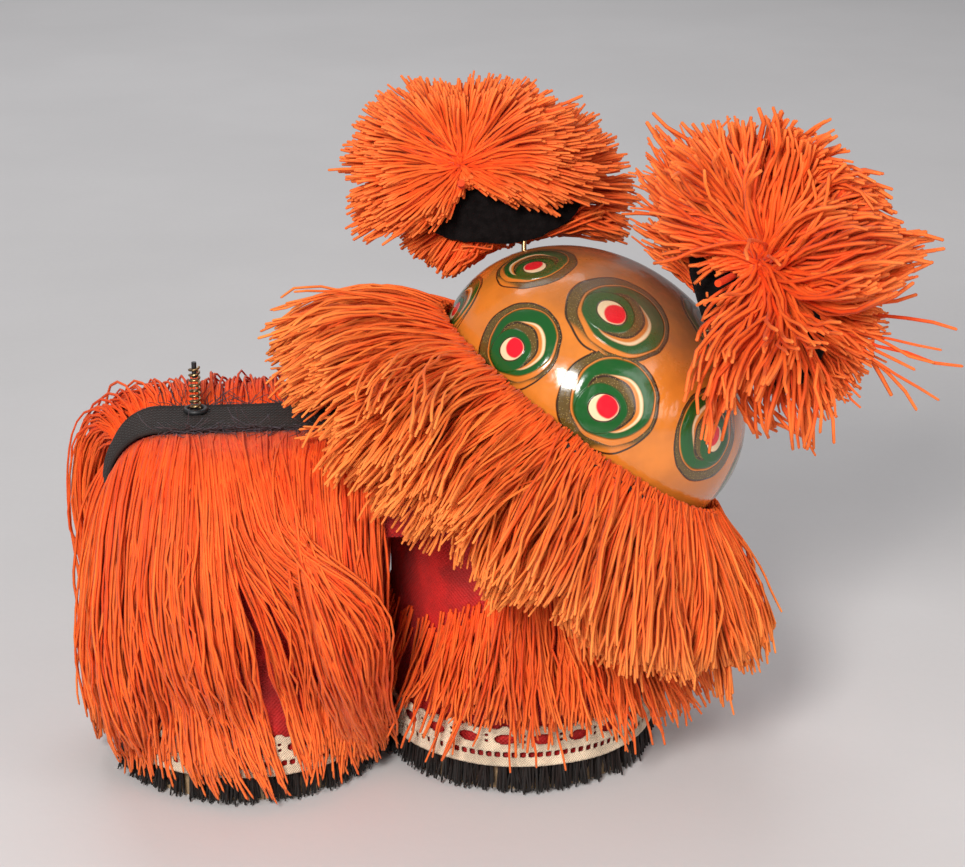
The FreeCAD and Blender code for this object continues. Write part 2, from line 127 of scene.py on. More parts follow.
class FigureThreads(bpy.types.PropertyGroup):
    body_width: size("Thickness of a body thread", 0.00055)
    mane_width: size("Thickness of a mane thread", 0.00060)
    ear_width: size("Thickness of an ear thread", 0.00060)
    body_colour: colour("body fringe", (0.93, 0.098, 0.007))
    mane_colour: colour("mane", (0.93, 0.128, 0.011))
    ear_colour: colour("ear threads", (0.92, 0.092, 0.006))
    body_length: size("Length of a body thread from the tape to the hem", 0.088)
    mane_length: size("Length of a mane thread", 0.036)
    body_strands: strands("Threads on each side of the rear drum", 1100)
    mane_strands: strands("Threads in each tier of the mane", 2000)


class FigureCloth(bpy.types.PropertyGroup):
    cloth: colour("cloth on the drums", (0.50, 0.006, 0.004))
    lace: colour("cotton lace", (0.86, 0.68, 0.47))
    tape: colour("ribbed tape", (0.016, 0.0085, 0.0065))
    felt: colour("ear leaves", (0.0035, 0.0025, 0.0025))
    bristle: colour("stiff bristles", (0.018, 0.010, 0.0065))
    lace_pitch: size("Distance between the large holes of the lace", 0.0076)
    ladder_pitch: size("Distance between the small slots of the lace", 0.0017)


class FigureHead(bpy.types.PropertyGroup):
    lacquer: colour("ground of the ball", (0.64, 0.190, 0.022))
    leaf_green: colour("thick painted rings", (0.004, 0.082, 0.010))
    olive: colour("thin glaze around the rings", (0.105, 0.062, 0.012))
    cream: colour("painted crescents", (0.80, 0.60, 0.36))
    crimson: colour("drops in the rings", (0.72, 0.004, 0.018))
    equator: size("Radius of the ball across its dome axis", EQUATOR * MM)
    pole: size("Radius of the ball along its dome axis", POLE * MM)


class FigureStage(bpy.types.PropertyGroup):
    floor: colour("floor", (0.62, 0.60, 0.60))
    lens: bpy.props.FloatProperty(name="Focal length in millimetres", default=97.0, min=10.0)
    azimuth: angle("Camera's angle round the figure", -5)
    elevation: angle("Camera's angle above the floor", 20)
    distance: size("Distance from the camera to the point that it looks at", 0.52)


# ---- shader helpers ----
def fill(tree, node, inputs):
    """Fill a node's inputs with values or links."""
    for key, value in inputs.items():
        if isinstance(value, bpy.types.NodeSocket):
            tree.links.new(value, node.inputs[key])
        else:
            node.inputs[key].default_value = value
    return node


def put(tree, kind, inputs, **fields):
    """Add a node, set its fields, fill its inputs and return its outputs."""
    node = tree.nodes.new(kind)
    for name, value in fields.items():
        setattr(node, name, value)
    return fill(tree, node, inputs).outputs


def rgba(tint, strength=1.0):
    return (*[min(1.0, channel * strength) for channel in tint], 1.0)


def mix(tree, factor, first, second, blend_type="MIX"):
    """Blend two colours."""
    return put(tree, "ShaderNodeMix", {0: factor, 6: first, 7: second}, data_type="RGBA",
               blend_type=blend_type)[2]


def calc(tree, operation, *values):
    return put(tree, "ShaderNodeMath", dict(enumerate(values)), operation=operation)[0]


def vectors(tree, operation, *values):
    """Outputs of a vector sum: the vector, then the value."""
    return put(tree, "ShaderNodeVectorMath", dict(enumerate(values)), operation=operation)


def remap(tree, *values):
    """Smooth step of a value: from low, to high, and the results there if they aren't 0 and 1."""
    return put(tree, "ShaderNodeMapRange", dict(enumerate(values)), interpolation_type="SMOOTHSTEP")[0]


def bumped(tree, height, strength, distance):
    return put(tree, "ShaderNodeBump", {"Strength": strength, "Distance": distance, "Height": height})[0]


def new_group(name, inputs, outputs):
    """An empty shader group with named sockets, and its two end nodes."""
    group = bpy.data.node_groups.new(name, "ShaderNodeTree")
    for label, kind, default in inputs:
        socket = group.interface.new_socket(name=label, in_out="INPUT", socket_type=kind)
        if default is not None:
            socket.default_value = default
    for label, kind in outputs:
        group.interface.new_socket(name=label, in_out="OUTPUT", socket_type=kind)
    return group, group.nodes.new("NodeGroupInput").outputs, group.nodes.new("NodeGroupOutput")


def made_once(store):
    """Make a named data block only if there is none of that name yet."""
    def wrap(make):
        return lambda name, *rest: getattr(bpy.data, store).get(name) or make(name, *rest)
    return wrap


@made_once("node_groups")
def mottle_group(name):
    """Two sizes of noise: a soft mottle mask and a fine grain height."""
    group, start, end = new_group(
        name, [("Vector", VECTOR, None), ("Scale", FLOAT, 100.0), ("Grain", FLOAT, 2000.0)],
        [("Mottle", FLOAT), ("Grain", FLOAT)])
    broad = put(group, "ShaderNodeTexNoise", {"Vector": start[0], "Scale": start[1],
                                              "Detail": 4.0, "Roughness": 0.6})
    fine = put(group, "ShaderNodeTexNoise", {"Vector": start[0], "Scale": start[2], "Detail": 2.0})
    fill(group, end, {0: remap(group, broad[0], 0.3, 0.7), 1: fine[0]})
    return group


@made_once("node_groups")
def weave_group(name):
    """Crossing yarns on a surface's own flat coordinates: over-under height and a gap mask."""
    group, start, end = new_group(name, [("Vector", VECTOR, None), ("Yarns", FLOAT, 1000.0)],
                                  [("Height", FLOAT), ("Gap", FLOAT)])
    split = put(group, "ShaderNodeSeparateXYZ", {0: start[0]})
    waves = []
    for axis in (0, 1):
        turns = calc(group, "MULTIPLY", split[axis], start[1])
        waves.append(calc(group, "SINE", calc(group, "MULTIPLY", turns, math.tau)))
    both = calc(group, "ADD", *[calc(group, "ABSOLUTE", wave) for wave in waves])
    fill(group, end, {0: calc(group, "MULTIPLY", *waves), 1: remap(group, both, 0.5, 0.1)})
    return group


def new_material(name):
    """A material with its tree emptied, its tree and its shader."""
    material = bpy.data.materials.new(name)
    material.use_nodes = True
    tree = material.node_tree
    tree.nodes.clear()
    shader = tree.nodes.new("ShaderNodeBsdfPrincipled")
    put(tree, "ShaderNodeOutputMaterial", {0: shader.outputs[0]})
    return material, tree, shader


def object_place(tree):
    return put(tree, "ShaderNodeTexCoord", {})["Object"]


def mottled(tree, scale, grain):
    """Mask and grain of the shared mottle group, fixed to the object."""
    node = put(tree, "ShaderNodeGroup", {0: object_place(tree), 1: scale, 2: grain},
               node_tree=mottle_group("mottle"))
    return node[0], node[1]


@made_once("materials")
def mottled_material(name, base, darker, scale, grain, roughness, bump=0.0002, metallic=0.0,
                     sheen=0.0, specular=0.5):
    """A finish whose colour, gloss and surface vary over two sizes of noise."""
    material, tree, shader = new_material(name)
    mask, height = mottled(tree, scale, grain)
    fill(tree, shader, {
        "Base Color": mix(tree, mask, rgba(darker), rgba(base)),
        "Roughness": remap(tree, height, 0.2, 0.8, roughness - 0.06, roughness + 0.06),
        "Normal": bumped(tree, height, 0.6, bump),
        "Metallic": metallic, "Sheen Weight": sheen, "Specular IOR Level": specular})
    return material


@made_once("materials")
def thread_material(name, base, tip_gain=0.35):
    """Cotton thread: each strand its own shade, darker at the root, paler and drier at the tip."""
    material, tree, shader = new_material(name)
    shade, along = [put(tree, "ShaderNodeAttribute", {}, attribute_name=layer)["Fac"]
                    for layer in ("strand_shade", "strand_along")]
    red, green, blue = base
    deep = rgba((red * 0.80, green * 0.60, blue * 0.6))
    pale = rgba((red * 1.05, green * 1.75 + red * 0.02, blue * 2.6 + red * 0.01))
    redder = rgba((red * 0.95, green * 0.62, blue * 0.5))
    bleached = rgba((red * 1.05, green * 2.4 + red * 0.03, blue * 4 + red * 0.03))
    root = calc(tree, "MULTIPLY", remap(tree, along, 0.0, 0.45, 1.0, 0.0), 0.55)
    tint = mix(tree, root, mix(tree, shade, deep, pale), redder)
    tint = mix(tree, remap(tree, along, 0.72, 1.0, 0.0, tip_gain), tint, bleached)
    mask, height = mottled(tree, 260.0, 3600.0)
    fill(tree, shader, {
        "Base Color": mix(tree, 1.0, tint, remap(tree, mask, 0.0, 1.0, 0.86, 1.0), "MULTIPLY"),
        "Roughness": remap(tree, height, 0.2, 0.8, 0.55, 0.78),
        "Normal": bumped(tree, height, 0.5, 0.0001),
        "Specular IOR Level": 0.25, "Sheen Weight": 0.05, "Sheen Roughness": 0.4})
    return material


@made_once("materials")
def woven_material(name, base, yarns, map_name, roughness, bump, gap_dark, sheen):
    """Woven cloth on the piece's own flat coordinates, in metres, with shade changes along it."""
    material, tree, shader = new_material(name)
    flat = put(tree, "ShaderNodeUVMap", {}, uv_map=map_name)[0]
    weave = put(tree, "ShaderNodeGroup", {0: flat, 1: yarns}, node_tree=weave_group("weave"))
    mask, grain = mottled(tree, 140.0, 5200.0)
    worn = mix(tree, mask, rgba(base, 0.62), rgba(base, 1.15))
    height = calc(tree, "ADD", weave[0], calc(tree, "MULTIPLY", grain, 0.6))
    fill(tree, shader, {
        "Base Color": mix(tree, calc(tree, "MULTIPLY", weave[1], gap_dark), worn, rgba(base, 0.25)),
        "Roughness": remap(tree, grain, 0.2, 0.8, roughness - 0.1, roughness + 0.1),
        "Normal": bumped(tree, height, 0.7, bump), "Sheen Weight": sheen})
    return material


@made_once("node_groups")
def swirl_group(name):
    """One painted mark around the origin of its map: a comma ring, a thick ring and a drop."""
    tints = ("Ground", "Olive", "Green", "Cream", "Crimson")
    group, start, end = new_group(
        name, [("Vector", VECTOR, None)] + [(tint, COLOUR, (0.5, 0.5, 0.5, 1)) for tint in tints],
        [("Color", COLOUR), ("Relief", FLOAT), ("Glitter", FLOAT)])
    ground, olive, green, cream, crimson = start[1:6]
    wobble = put(group, "ShaderNodeTexNoise", {"Vector": start[0], "Scale": 1.3, "Detail": 1.0})
    shift = vectors(group, "SUBTRACT", wobble["Color"], (0.5, 0.5, 0.5))[0]
    small = vectors(group, "MULTIPLY", shift, (0.15, 0.15, 0.15))[0]
    apart = put(group, "ShaderNodeSeparateXYZ", {0: vectors(group, "ADD", start[0], small)[0]})
    flat = put(group, "ShaderNodeCombineXYZ", {0: apart[0], 1: apart[1], 2: 0.0})[0]

    def times(first, second):
        return calc(group, "MULTIPLY", first, second)

    def larger(first, second):
        return calc(group, "MAXIMUM", first, second)

    def off_ring(x, y, radius):
        """Distance from a circle round x, y."""
        reach = vectors(group, "DISTANCE", flat, (x, y, 0.0))[1]
        return calc(group, "ABSOLUTE", calc(group, "SUBTRACT", reach, radius))

    def disc(x, y, radius):
        reach = vectors(group, "DISTANCE", flat, (x, y, 0.0))[1]
        return remap(group, reach, radius + 0.022, radius - 0.022)

    def rim(x, y, radius, half):
        return remap(group, off_ring(x, y, radius), half, half * 0.3)

    def without(mask, cut):
        return times(mask, calc(group, "SUBTRACT", 1.0, cut))

    tail = remap(group, calc(group, "SUBTRACT", apart[0], apart[1]), 1.30, 1.10)
    comma = times(without(disc(0.0, 0.0, 1.0), disc(0.06, 0.07, 0.84)), tail)
    thick = times(disc(0.06, 0.08, 0.80), disc(-0.03, 0.15, 0.84))
    hollow = larger(disc(0.10, 0.05, 0.55), disc(-0.14, 0.06, 0.40))
    crescent = without(disc(0.10, 0.05, 0.55), disc(-0.01, -0.04, 0.53))
    edge = without(crescent, disc(0.055, 0.01, 0.545))
    core = disc(-0.05, -0.20, 0.49)
    pearl = disc(-0.02, -0.15, 0.285)
    drop = times(disc(0.06, -0.04, 0.265), disc(-0.03, -0.14, 0.27))
    outline = rgba((0.035, 0.016, 0.006))
    tone = ground
    for mask, paint in (
            (comma, olive), (rim(0.0, 0.0, 0.985, 0.032), outline),
            (times(rim(0.06, 0.07, 0.845, 0.022), comma), outline), (thick, green), (hollow, olive),
            (crescent, ground), (edge, cream),
            (times(rim(-0.01, -0.04, 0.52, 0.035), hollow), outline), (core, green), (pearl, cream),
            (drop, crimson), (rim(-0.02, -0.15, 0.29, 0.018), outline)):
        tone = mix(group, mask, tone, paint)
    high = times(comma, 0.25)
    swell = remap(group, off_ring(0.04, 0.02, 0.68), 0.20, 0.0)
    for mask, height in ((thick, 0.45), (swell, 0.35), (core, 0.4), (pearl, 0.3)):
        high = calc(group, "ADD", high, times(mask, height))
    glitter = larger(comma, without(hollow, larger(core, crescent)))
    fill(group, end, {0: tone, 1: high, 2: glitter})
    return group


def lacquer_material(head):
    """Glossy ochre lacquer with painted swirls, glitter in the glaze, and on the crown a dark brown film
    that is dust and painted shade.
    """
    material, tree, shader = new_material("painted_lacquer")
    place = object_place(tree)
    mask, grain = mottled(tree, 60.0, 900.0)
    ground = mix(tree, mask, rgba(head.lacquer, 0.80), rgba(head.lacquer, 1.12))
    flat = put(tree, "ShaderNodeUVMap", {}, uv_map="swirls")[0]
    paints = [rgba(tint) for tint in (head.olive, head.leaf_green, head.cream, head.crimson)]
    marks = put(tree, "ShaderNodeGroup", dict(enumerate([flat, ground, *paints])),
                node_tree=swirl_group("painted_swirl"))
    specks = put(tree, "ShaderNodeTexVoronoi", {"Vector": place, "Scale": 2600.0})["Distance"]
    spark = calc(tree, "MULTIPLY", remap(tree, specks, 0.32, 0.12), marks[2])
    tone = mix(tree, calc(tree, "MULTIPLY", spark, 0.55), marks[0], rgba((0.50, 0.33, 0.07)))
    # dust and painted shade: a dark brown, rougher film where the ball faces up, forward and to the far
    # side, with a cloudy edge
    crown = vectors(tree, "SUBTRACT", place, tuple(HEAD * MM))[0]
    lean = vectors(tree, "DOT_PRODUCT", crown, tuple(unit([0.55, 0.25, 0.75])))[1]
    cloud = put(tree, "ShaderNodeTexNoise", {"Vector": place, "Scale": 70.0, "Detail": 5.0,
                                             "Distortion": 0.6})[0]
    lifted = calc(tree, "ADD", lean, calc(tree, "MULTIPLY", cloud, 0.022))
    dust_and_painted_shade = remap(tree, lifted, 0.016, 0.037, 0.0, 0.78)
    fine = calc(tree, "ADD", calc(tree, "MULTIPLY", grain, 0.05), calc(tree, "MULTIPLY", spark, 0.08))
    fill(tree, shader, {
        # painted shade: the dark brown film darkens the crown where the ball faces up, forward and to the
        # far side
        "Base Color": mix(tree, dust_and_painted_shade, tone, rgba((0.115, 0.070, 0.050))),
        "Roughness": calc(tree, "ADD", remap(tree, grain, 0.3, 0.7, 0.13, 0.24),
                          calc(tree, "MULTIPLY", dust_and_painted_shade, 0.35)),
        "Normal": bumped(tree, calc(tree, "ADD", marks[1], fine), 0.7, 0.0007),
        "Coat Weight": 0.5, "Coat Roughness": 0.08})
    return material


def ribbed_tape(cloth):
    return woven_material("ribbed_tape", cloth.tape, 1300.0, "tape", 0.82, 0.00012, 0.6, 0.03)


def raw_wood():
    return mottled_material("raw_wood", (0.46, 0.31, 0.17), (0.30, 0.19, 0.10), 90.0, 1400.0, 0.7)


def dull_brass():
    return mottled_material("dull_brass", (0.44, 0.30, 0.14), (0.20, 0.12, 0.06), 900.0, 6000.0, 0.34,
                            0.00002, 1.0)


def show_nodes(material, *nodes):
    """Give CAD nodes their finish."""
    for node in nodes:
        slots = frame["nodes"][node].data.materials
        slots.clear()
        slots.append(material)


# ---- mesh helpers ----
def link_new(name, data):
    item = bpy.data.objects.new(name, data)
    bpy.context.scene.collection.objects.link(item)
    return item


def mesh_piece(name, shape, material):
    """Turn a bmesh into a smooth-shaded object."""
    mesh = bpy.data.meshes.new(name)
    shape.to_mesh(mesh)
    shape.free()
    mesh.polygons.foreach_set("use_smooth", np.ones(len(mesh.polygons), bool))
    mesh.update()
    mesh.materials.append(material)
    return link_new(name, mesh)


def stand_in(piece, body, slot, *nodes):
    """Make a piece ride on a body and hide the CAD nodes that it stands for."""
    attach(piece, body)
    if nodes:
        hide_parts(*nodes)
    return piece


def thicken(shape, depth):
    """Give a sheet its thickness in millimetres, with every face turned outwards."""
    bmesh.ops.recalc_face_normals(shape, faces=shape.faces)
    bmesh.ops.solidify(shape, geom=shape.faces[:], thickness=depth * MM)
    bmesh.ops.recalc_face_normals(shape, faces=shape.faces)


def soft_noise(*place):
    return noise.noise(Vector(place))


def ring_noise(turn, scale, height):
    """Noise that closes on itself round a circle."""
    return soft_noise(math.cos(turn) * scale, math.sin(turn) * scale, height)


def on_circle(centre, radius, turn, height):
    return centre[0] + radius * math.cos(turn), centre[1] + radius * math.sin(turn), height


def wrapped_sheet(name, width, height, cells, place, thickness, map_name, material, holes=None, closed=True):
    """A flat grid, cut by the holes rule, then laid in place and given its thickness.

    width, height and place's arguments are in millimetres along and up the flat sheet.
    """
    shape = bmesh.new()
    bmesh.ops.create_grid(shape, x_segments=cells[0], y_segments=cells[1], size=0.5)
    for vert in shape.verts:
        vert.co = ((vert.co.x + 0.5) * width, (vert.co.y + 0.5) * height, 0.0)
    if holes:
        cut = [face for face in shape.faces if holes(*face.calc_center_median()[:2])]
        bmesh.ops.delete(shape, geom=cut, context="FACES")
        for _ in range(2):
            rims = [vert for vert in shape.verts
                    if vert.is_boundary and 0.01 < vert.co.x < width - 0.01 and 0.01 < vert.co.y]
            bmesh.ops.smooth_vert(shape, verts=rims, factor=0.5, use_axis_x=True, use_axis_y=True)
    layer = shape.loops.layers.uv.new(map_name)
    for face in shape.faces:
        for loop in face.loops:
            loop[layer].uv = (loop.vert.co.x * MM, loop.vert.co.y * MM)
    for vert in shape.verts:
        vert.co = Vector(place(vert.co.x, vert.co.y)) * MM
    if closed:
        bmesh.ops.remove_doubles(shape, verts=shape.verts, dist=1e-5)
    thicken(shape, thickness)
    return mesh_piece(name, shape, material)


def worked_copy(name, node, longest, swell, wave, seed, material):
    """A merged copy of a CAD node, subdivided and rippled a little like a filled or sewn piece."""
    shape = bmesh.new()
    shape.from_mesh(frame["nodes"][node].data)
    bmesh.ops.remove_doubles(shape, verts=shape.verts, dist=1e-6)
    long_edges = [edge for edge in shape.edges if edge.calc_length() > longest * MM]
    bmesh.ops.subdivide_edges(shape, edges=long_edges, cuts=2, use_grid_fill=True)
    bmesh.ops.triangulate(shape, faces=shape.faces[:])
    bmesh.ops.recalc_face_normals(shape, faces=shape.faces)
    layer = shape.loops.layers.uv.new("cloth")
    for face in shape.faces:
        flat_up = abs(face.normal.z) > 0.6
        for loop in face.loops:
            place = loop.vert.co
            loop[layer].uv = (place.x, place.y) if flat_up else (place.x + place.y, place.z)
    offset = Vector((seed * 3.1, seed * 1.7, 0))
    for vert in shape.verts:
        vert.co += vert.normal * noise.noise(vert.co * (1 / (wave * MM)) + offset) * swell * MM
    return mesh_piece(name, shape, material)


# ---- thread helpers, in millimetres ----
FLOOR_LIFT = 0.5            # lowest height of a laid thread


def columns(x, y, z):
    return np.stack(np.broadcast_arrays(x, y, z), axis=1)


def draws(rng, count):
    """Three kinds of random draw for each thread: evenly between two numbers, near one, or a direction."""
    return (lambda low, high: rng.uniform(low, high, count),
            lambda middle, spread: rng.normal(middle, spread, count),
            lambda spread: rng.normal(0, spread, (count, 3)))


def trunk_gap(points):
    """Distance outside the two covered drums and the rounded back on them."""
    x, y, z = points.T
    wall = np.where(z < LACE_HIGH + 0.4, LACE_RADIUS, COVER_RADIUS)
    rear = np.hypot(x - REAR[0], y) - wall
    front = np.hypot(x - FRONT[0], y) - wall
    drums = np.maximum(np.minimum(rear, front), z - BACK_LOW)
    nearest = np.clip(x, REAR[0], BACK_FRONT)
    side = np.hypot(x - nearest, y) - BACK_INSET
    up = z - (BACK_TOP - BACK_EDGE)
    back = np.hypot(np.maximum(side, 0), np.maximum(up, 0)) + np.minimum(np.maximum(side, up), 0) - BACK_EDGE
    return np.minimum(drums, np.maximum(back, BACK_LOW - z))


def ball_gap(points):
    """Distance outside the ball, about."""
    local = (points - HEAD) @ HEAD_AXES.T
    radii = np.array([EQUATOR, EQUATOR, POLE])
    near = np.linalg.norm(local / radii, axis=1)
    slope = np.linalg.norm(local / radii ** 2, axis=1)
    return near * (near - 1) / np.maximum(slope, 1e-6)


def breeze(rng, wave_mm):
    """A smooth random direction field, so that neighbouring threads bend together into locks."""
    waves = rng.normal(0, math.tau / wave_mm / 1.7, (3, 3, 3))
    phases = rng.uniform(0, math.tau, (3, 3))
    return lambda points: sum(np.sin(points @ wave.T + phase)
                              for wave, phase in zip(waves, phases)) / 1.7


def push_out(points, gap, lift):
    """Move points that are closer to a shape than lift straight away from it."""
    for _ in range(2):
        short = lift - gap(points)
        slope = np.stack([gap(points + step) - gap(points - step)
                          for step in np.eye(3) * 0.05], axis=1)
        points = points + unit(slope) * np.maximum(short, 0)[:, None]
    return points


def lay_threads(roots, heads, lengths, steps, pull, shapes):
    """Follow each thread from its root, bending as pull says and staying outside the shapes.

    pull(points, heading, share) gives the bend per millimetre; shapes are pairs of a gap rule and a lift.
    """
    paths = np.empty((len(roots), steps + 1, 3))
    paths[:, 0] = roots
    place, heading = roots.copy(), unit(heads)
    stride = (lengths / steps)[:, None]
    for index in range(steps):
        share = (index + 0.5) / steps
        heading = unit(heading + pull(place, heading, share) * stride)
        ahead = place + heading * stride
        for gap, lift in shapes:
            ahead = push_out(ahead, gap, lift * min(1.0, 0.25 + 1.5 * share))
        ahead[:, 2] = np.maximum(ahead[:, 2], FLOOR_LIFT)
        heading = unit(ahead - place)
        place = place + heading * stride
        paths[:, index + 1] = place
    return paths


def gather(paths, centres, strength, rng, power):
    """Draw each thread towards its nearest lock's middle thread, more at the tip."""
    count, points, _ = paths.shape
    middles = rng.choice(count, centres, replace=False)
    at = points // 2
    distance = np.linalg.norm(paths[:, None, at] - paths[None, middles, at], axis=2)
    lead = paths[middles[np.argmin(distance, axis=1)]]
    share = np.linspace(0, 1, points) ** power
    amount = (rng.uniform(0.4, 1.0, count) * strength)[:, None] * share[None]
    return paths + (lead - paths) * amount[..., None]


def ripple(paths, size_mm, wave_mm, rng):
    """Give each thread its own gentle waves, none at the root."""
    count = len(paths)
    run = np.linalg.norm(np.diff(paths, axis=1), axis=2).cumsum(axis=1)
    run = np.concatenate([np.zeros((count, 1)), run], axis=1)
    share = run / run[:, -1:]
    along = unit(paths[:, -1] - paths[:, 0])
    first = unit(np.cross(along, rng.normal(size=(count, 3))))
    second = np.cross(along, first)
    out = paths.copy()
    for direction, scale in ((first, 1.0), (second, 0.8), (first + second, 0.4)):
        length = rng.uniform(0.7, 1.5, count)[:, None] * wave_mm * scale
        phase = rng.uniform(0, math.tau, count)[:, None]
        height = rng.gamma(2.0, 0.5, count)[:, None] * size_mm * scale
        wave = np.sin(math.tau * run / length + phase) - np.sin(phase) * (1 - share)
        out += (wave * height * np.minimum(1, share * 2.2))[..., None] * direction[:, None]
    return out


def trimmed(paths, keep, points):
    """Resample each thread, cut to its kept share, with a short taper at both ends."""
    stations = np.concatenate([[0, THREAD_TAPER], np.linspace(0, 1, points)[1:-1], [0.992, 1]])
    steps = paths.shape[1] - 1
    position = stations[None] * keep[:, None] * steps
    low = np.minimum(position.astype(int), steps - 1)
    part = (position - low)[..., None]
    rows = np.arange(len(paths))[:, None]
    return paths[rows, low] * (1 - part) + paths[rows, low + 1] * part, stations


def share_above(paths, height):
    """Share of each thread that lies above its own height."""
    steps = paths.shape[1] - 1
    below = paths[:, :, 2] < height[:, None]
    first = np.where(below.any(axis=1), below.argmax(axis=1), steps)
    return np.clip(first / steps, 0.2, 1.0)


def thread_piece(name, paths, points, width, rng, material, slot, body, nodes, keep=None):
    """Sweep round threads along their paths into one mesh piece with a shade for each thread."""
    laid, stations = trimmed(paths, np.ones(len(paths)) if keep is None else keep, points)
    count, total, _ = laid.shape
    curve = bpy.data.curves.new(name, "CURVE")
    curve.dimensions = "3D"
    curve.bevel_depth = width / 2
    curve.bevel_resolution = 0
    curve.twist_mode = "MINIMUM"
    profile = np.interp(stations, [0, THREAD_TAPER, 0.9, 0.992, 1.0], [0, 1, 1, 0.85, 0])
    sizes = rng.uniform(0.82, 1.15, count)
    place = np.ones((total, 4), np.float32)
    for strand, scale in zip(laid, sizes):
        spline = curve.splines.new("POLY")
        spline.points.add(total - 1)
        place[:, :3] = strand * MM
        spline.points.foreach_set("co", place.ravel())
        spline.points.foreach_set("radius", (profile * scale).astype(np.float32))
    holder = link_new(name + "_line", curve)
    swept = bpy.data.meshes.new_from_object(holder)
    bpy.data.objects.remove(holder)
    bpy.data.curves.remove(curve)
    shades = np.repeat(rng.beta(2.0, 2.4, count), total * THREAD_SIDES)
    along = np.tile(np.repeat(stations, THREAD_SIDES), count)
    for label, values in (("strand_shade", shades), ("strand_along", along)):
        layer = swept.attributes.new(label, "FLOAT", "POINT")
        layer.data.foreach_set("value", values.astype(np.float32))
    shape = bmesh.new()
    shape.from_mesh(swept)
    bpy.data.meshes.remove(swept)
    bmesh.ops.remove_doubles(shape, verts=shape.verts, dist=1e-7)
    return stand_in(mesh_piece(name, shape, material), body, slot, *nodes)


class Step:
    """What every operator shares: it runs its build function on the scene."""
    bl_options = {"REGISTER"}

    @classmethod
    def poll(cls, context):
        return context.scene is not None

    def execute(self, context):
        self.build(context.scene)
        return {"FINISHED"}


# ---- camera, floor and lights ----
CAMERA_AIM = Vector((-7.7, 0.0, 66.9)) * MM
LAMP_AIM = Vector((-0.01, 0.0, 0.06))


def softbox(name, place, width, power, tint):
    """A square lamp that looks at the middle of the figure."""
    lamp = bpy.data.lights.new(name, "AREA")
    lamp.shape = "SQUARE"
    lamp.size = width
    lamp.energy = power
    lamp.color = tint
    item = link_new(name, lamp)
    item.location = place
    item.rotation_euler = (LAMP_AIM - Vector(place)).to_track_quat("-Z", "Y").to_euler()


def build_stage(scene):
    setup = scene.figure_stage
    back = Vector((math.sin(setup.azimuth) * math.cos(setup.elevation),
                   -math.cos(setup.azimuth) * math.cos(setup.elevation), math.sin(setup.elevation)))
    lens = bpy.data.cameras.new("camera")
    lens.lens = setup.lens
    lens.sensor_width = 36.0
    lens.clip_start = 0.01
    camera = link_new("camera", lens)
    camera.location = CAMERA_AIM + back * setup.distance
    camera.rotation_euler = (-back).to_track_quat("-Z", "Y").to_euler()
    scene.camera = camera
    scene.view_settings.view_transform = "Standard"
    shape = bmesh.new()
    bmesh.ops.create_grid(shape, x_segments=24, y_segments=24, size=4.0)
    paper = mottled_material("floor_paper", setup.floor, [c * 0.94 for c in setup.floor],
                             6.0, 500.0, 0.72, 0.00005)
    mesh_piece("floor", shape, paper)
    softbox("key", (-0.24, -0.62, 0.46), 0.20, 6.2, (1.0, 0.98, 0.95))
    softbox("fill", (0.62, -0.55, 0.42), 0.6, 2.6, (1.0, 0.97, 0.95))
    softbox("rim", (-0.15, 0.75, 0.75), 0.7, 3.4, (0.96, 0.98, 1.0))
    world = bpy.data.worlds.new("studio")
    world.use_nodes = True
    sky = world.node_tree.nodes.get("Background") or world.node_tree.nodes.new("ShaderNodeBackground")
    fill(world.node_tree, sky, {0: (0.80, 0.81, 0.83, 1), 1: 0.36})
    scene.world = world


class FIGURE_OT_stage(Step, bpy.types.Operator):
    """Camera, pale floor and soft studio light"""
    bl_idname = "figure.stage"
    bl_label = "Stage"
    build = staticmethod(build_stage)


# ---- drums: feet, cores and bristles ----
def build_drums(scene):
    card = mottled_material("grey_card", (0.42, 0.34, 0.26), (0.30, 0.24, 0.18), 120.0, 2400.0, 0.85)
    bristle = thread_material("stiff_bristle", scene.figure_cloth.bristle, 0.10)
    for side, centre, seed in (("rear", REAR, 11), ("front", FRONT, 12)):
        show_nodes(raw_wood(), side + "_foot_disc")
        show_nodes(card, side + "_core")
        rng = np.random.default_rng(seed)
        count = 1500
        even, _, about = draws(rng, count)
        turn = even(0, math.tau)
        # the bristles stand in uneven bunches
        turn += 0.035 * np.sin(turn * 41 + rng.uniform(0, 6)) + 0.02 * np.sin(turn * 97)
        radius = even(LACE_RADIUS - 2.3, LACE_RADIUS - 0.5)
        out = columns(np.cos(turn), np.sin(turn), 0.0)
        roots = centre + out * radius[:, None] + [0, 0, LACE_LOW + 0.9]
        lean = about(0.09) + out * even(0.0, 0.13)[:, None]
        floor_gap = 0.15 + rng.gamma(1.6, 0.55, count)
        paths = lay_threads(roots, DOWN + lean, roots[:, 2] - floor_gap, 4, lambda *_: 0.0, [])
        thread_piece(side + "_bristle_tufts", paths, 4, 0.00044, rng, bristle, "black_bristle", "root",
                     [side + "_bristles"])


class FIGURE_OT_drums(Step, bpy.types.Operator):
    """Foot discs and card cores, and the row of stiff bristles under each drum"""
    bl_idname = "figure.drums"
    bl_label = "Drums and bristles"
    build = staticmethod(build_drums)


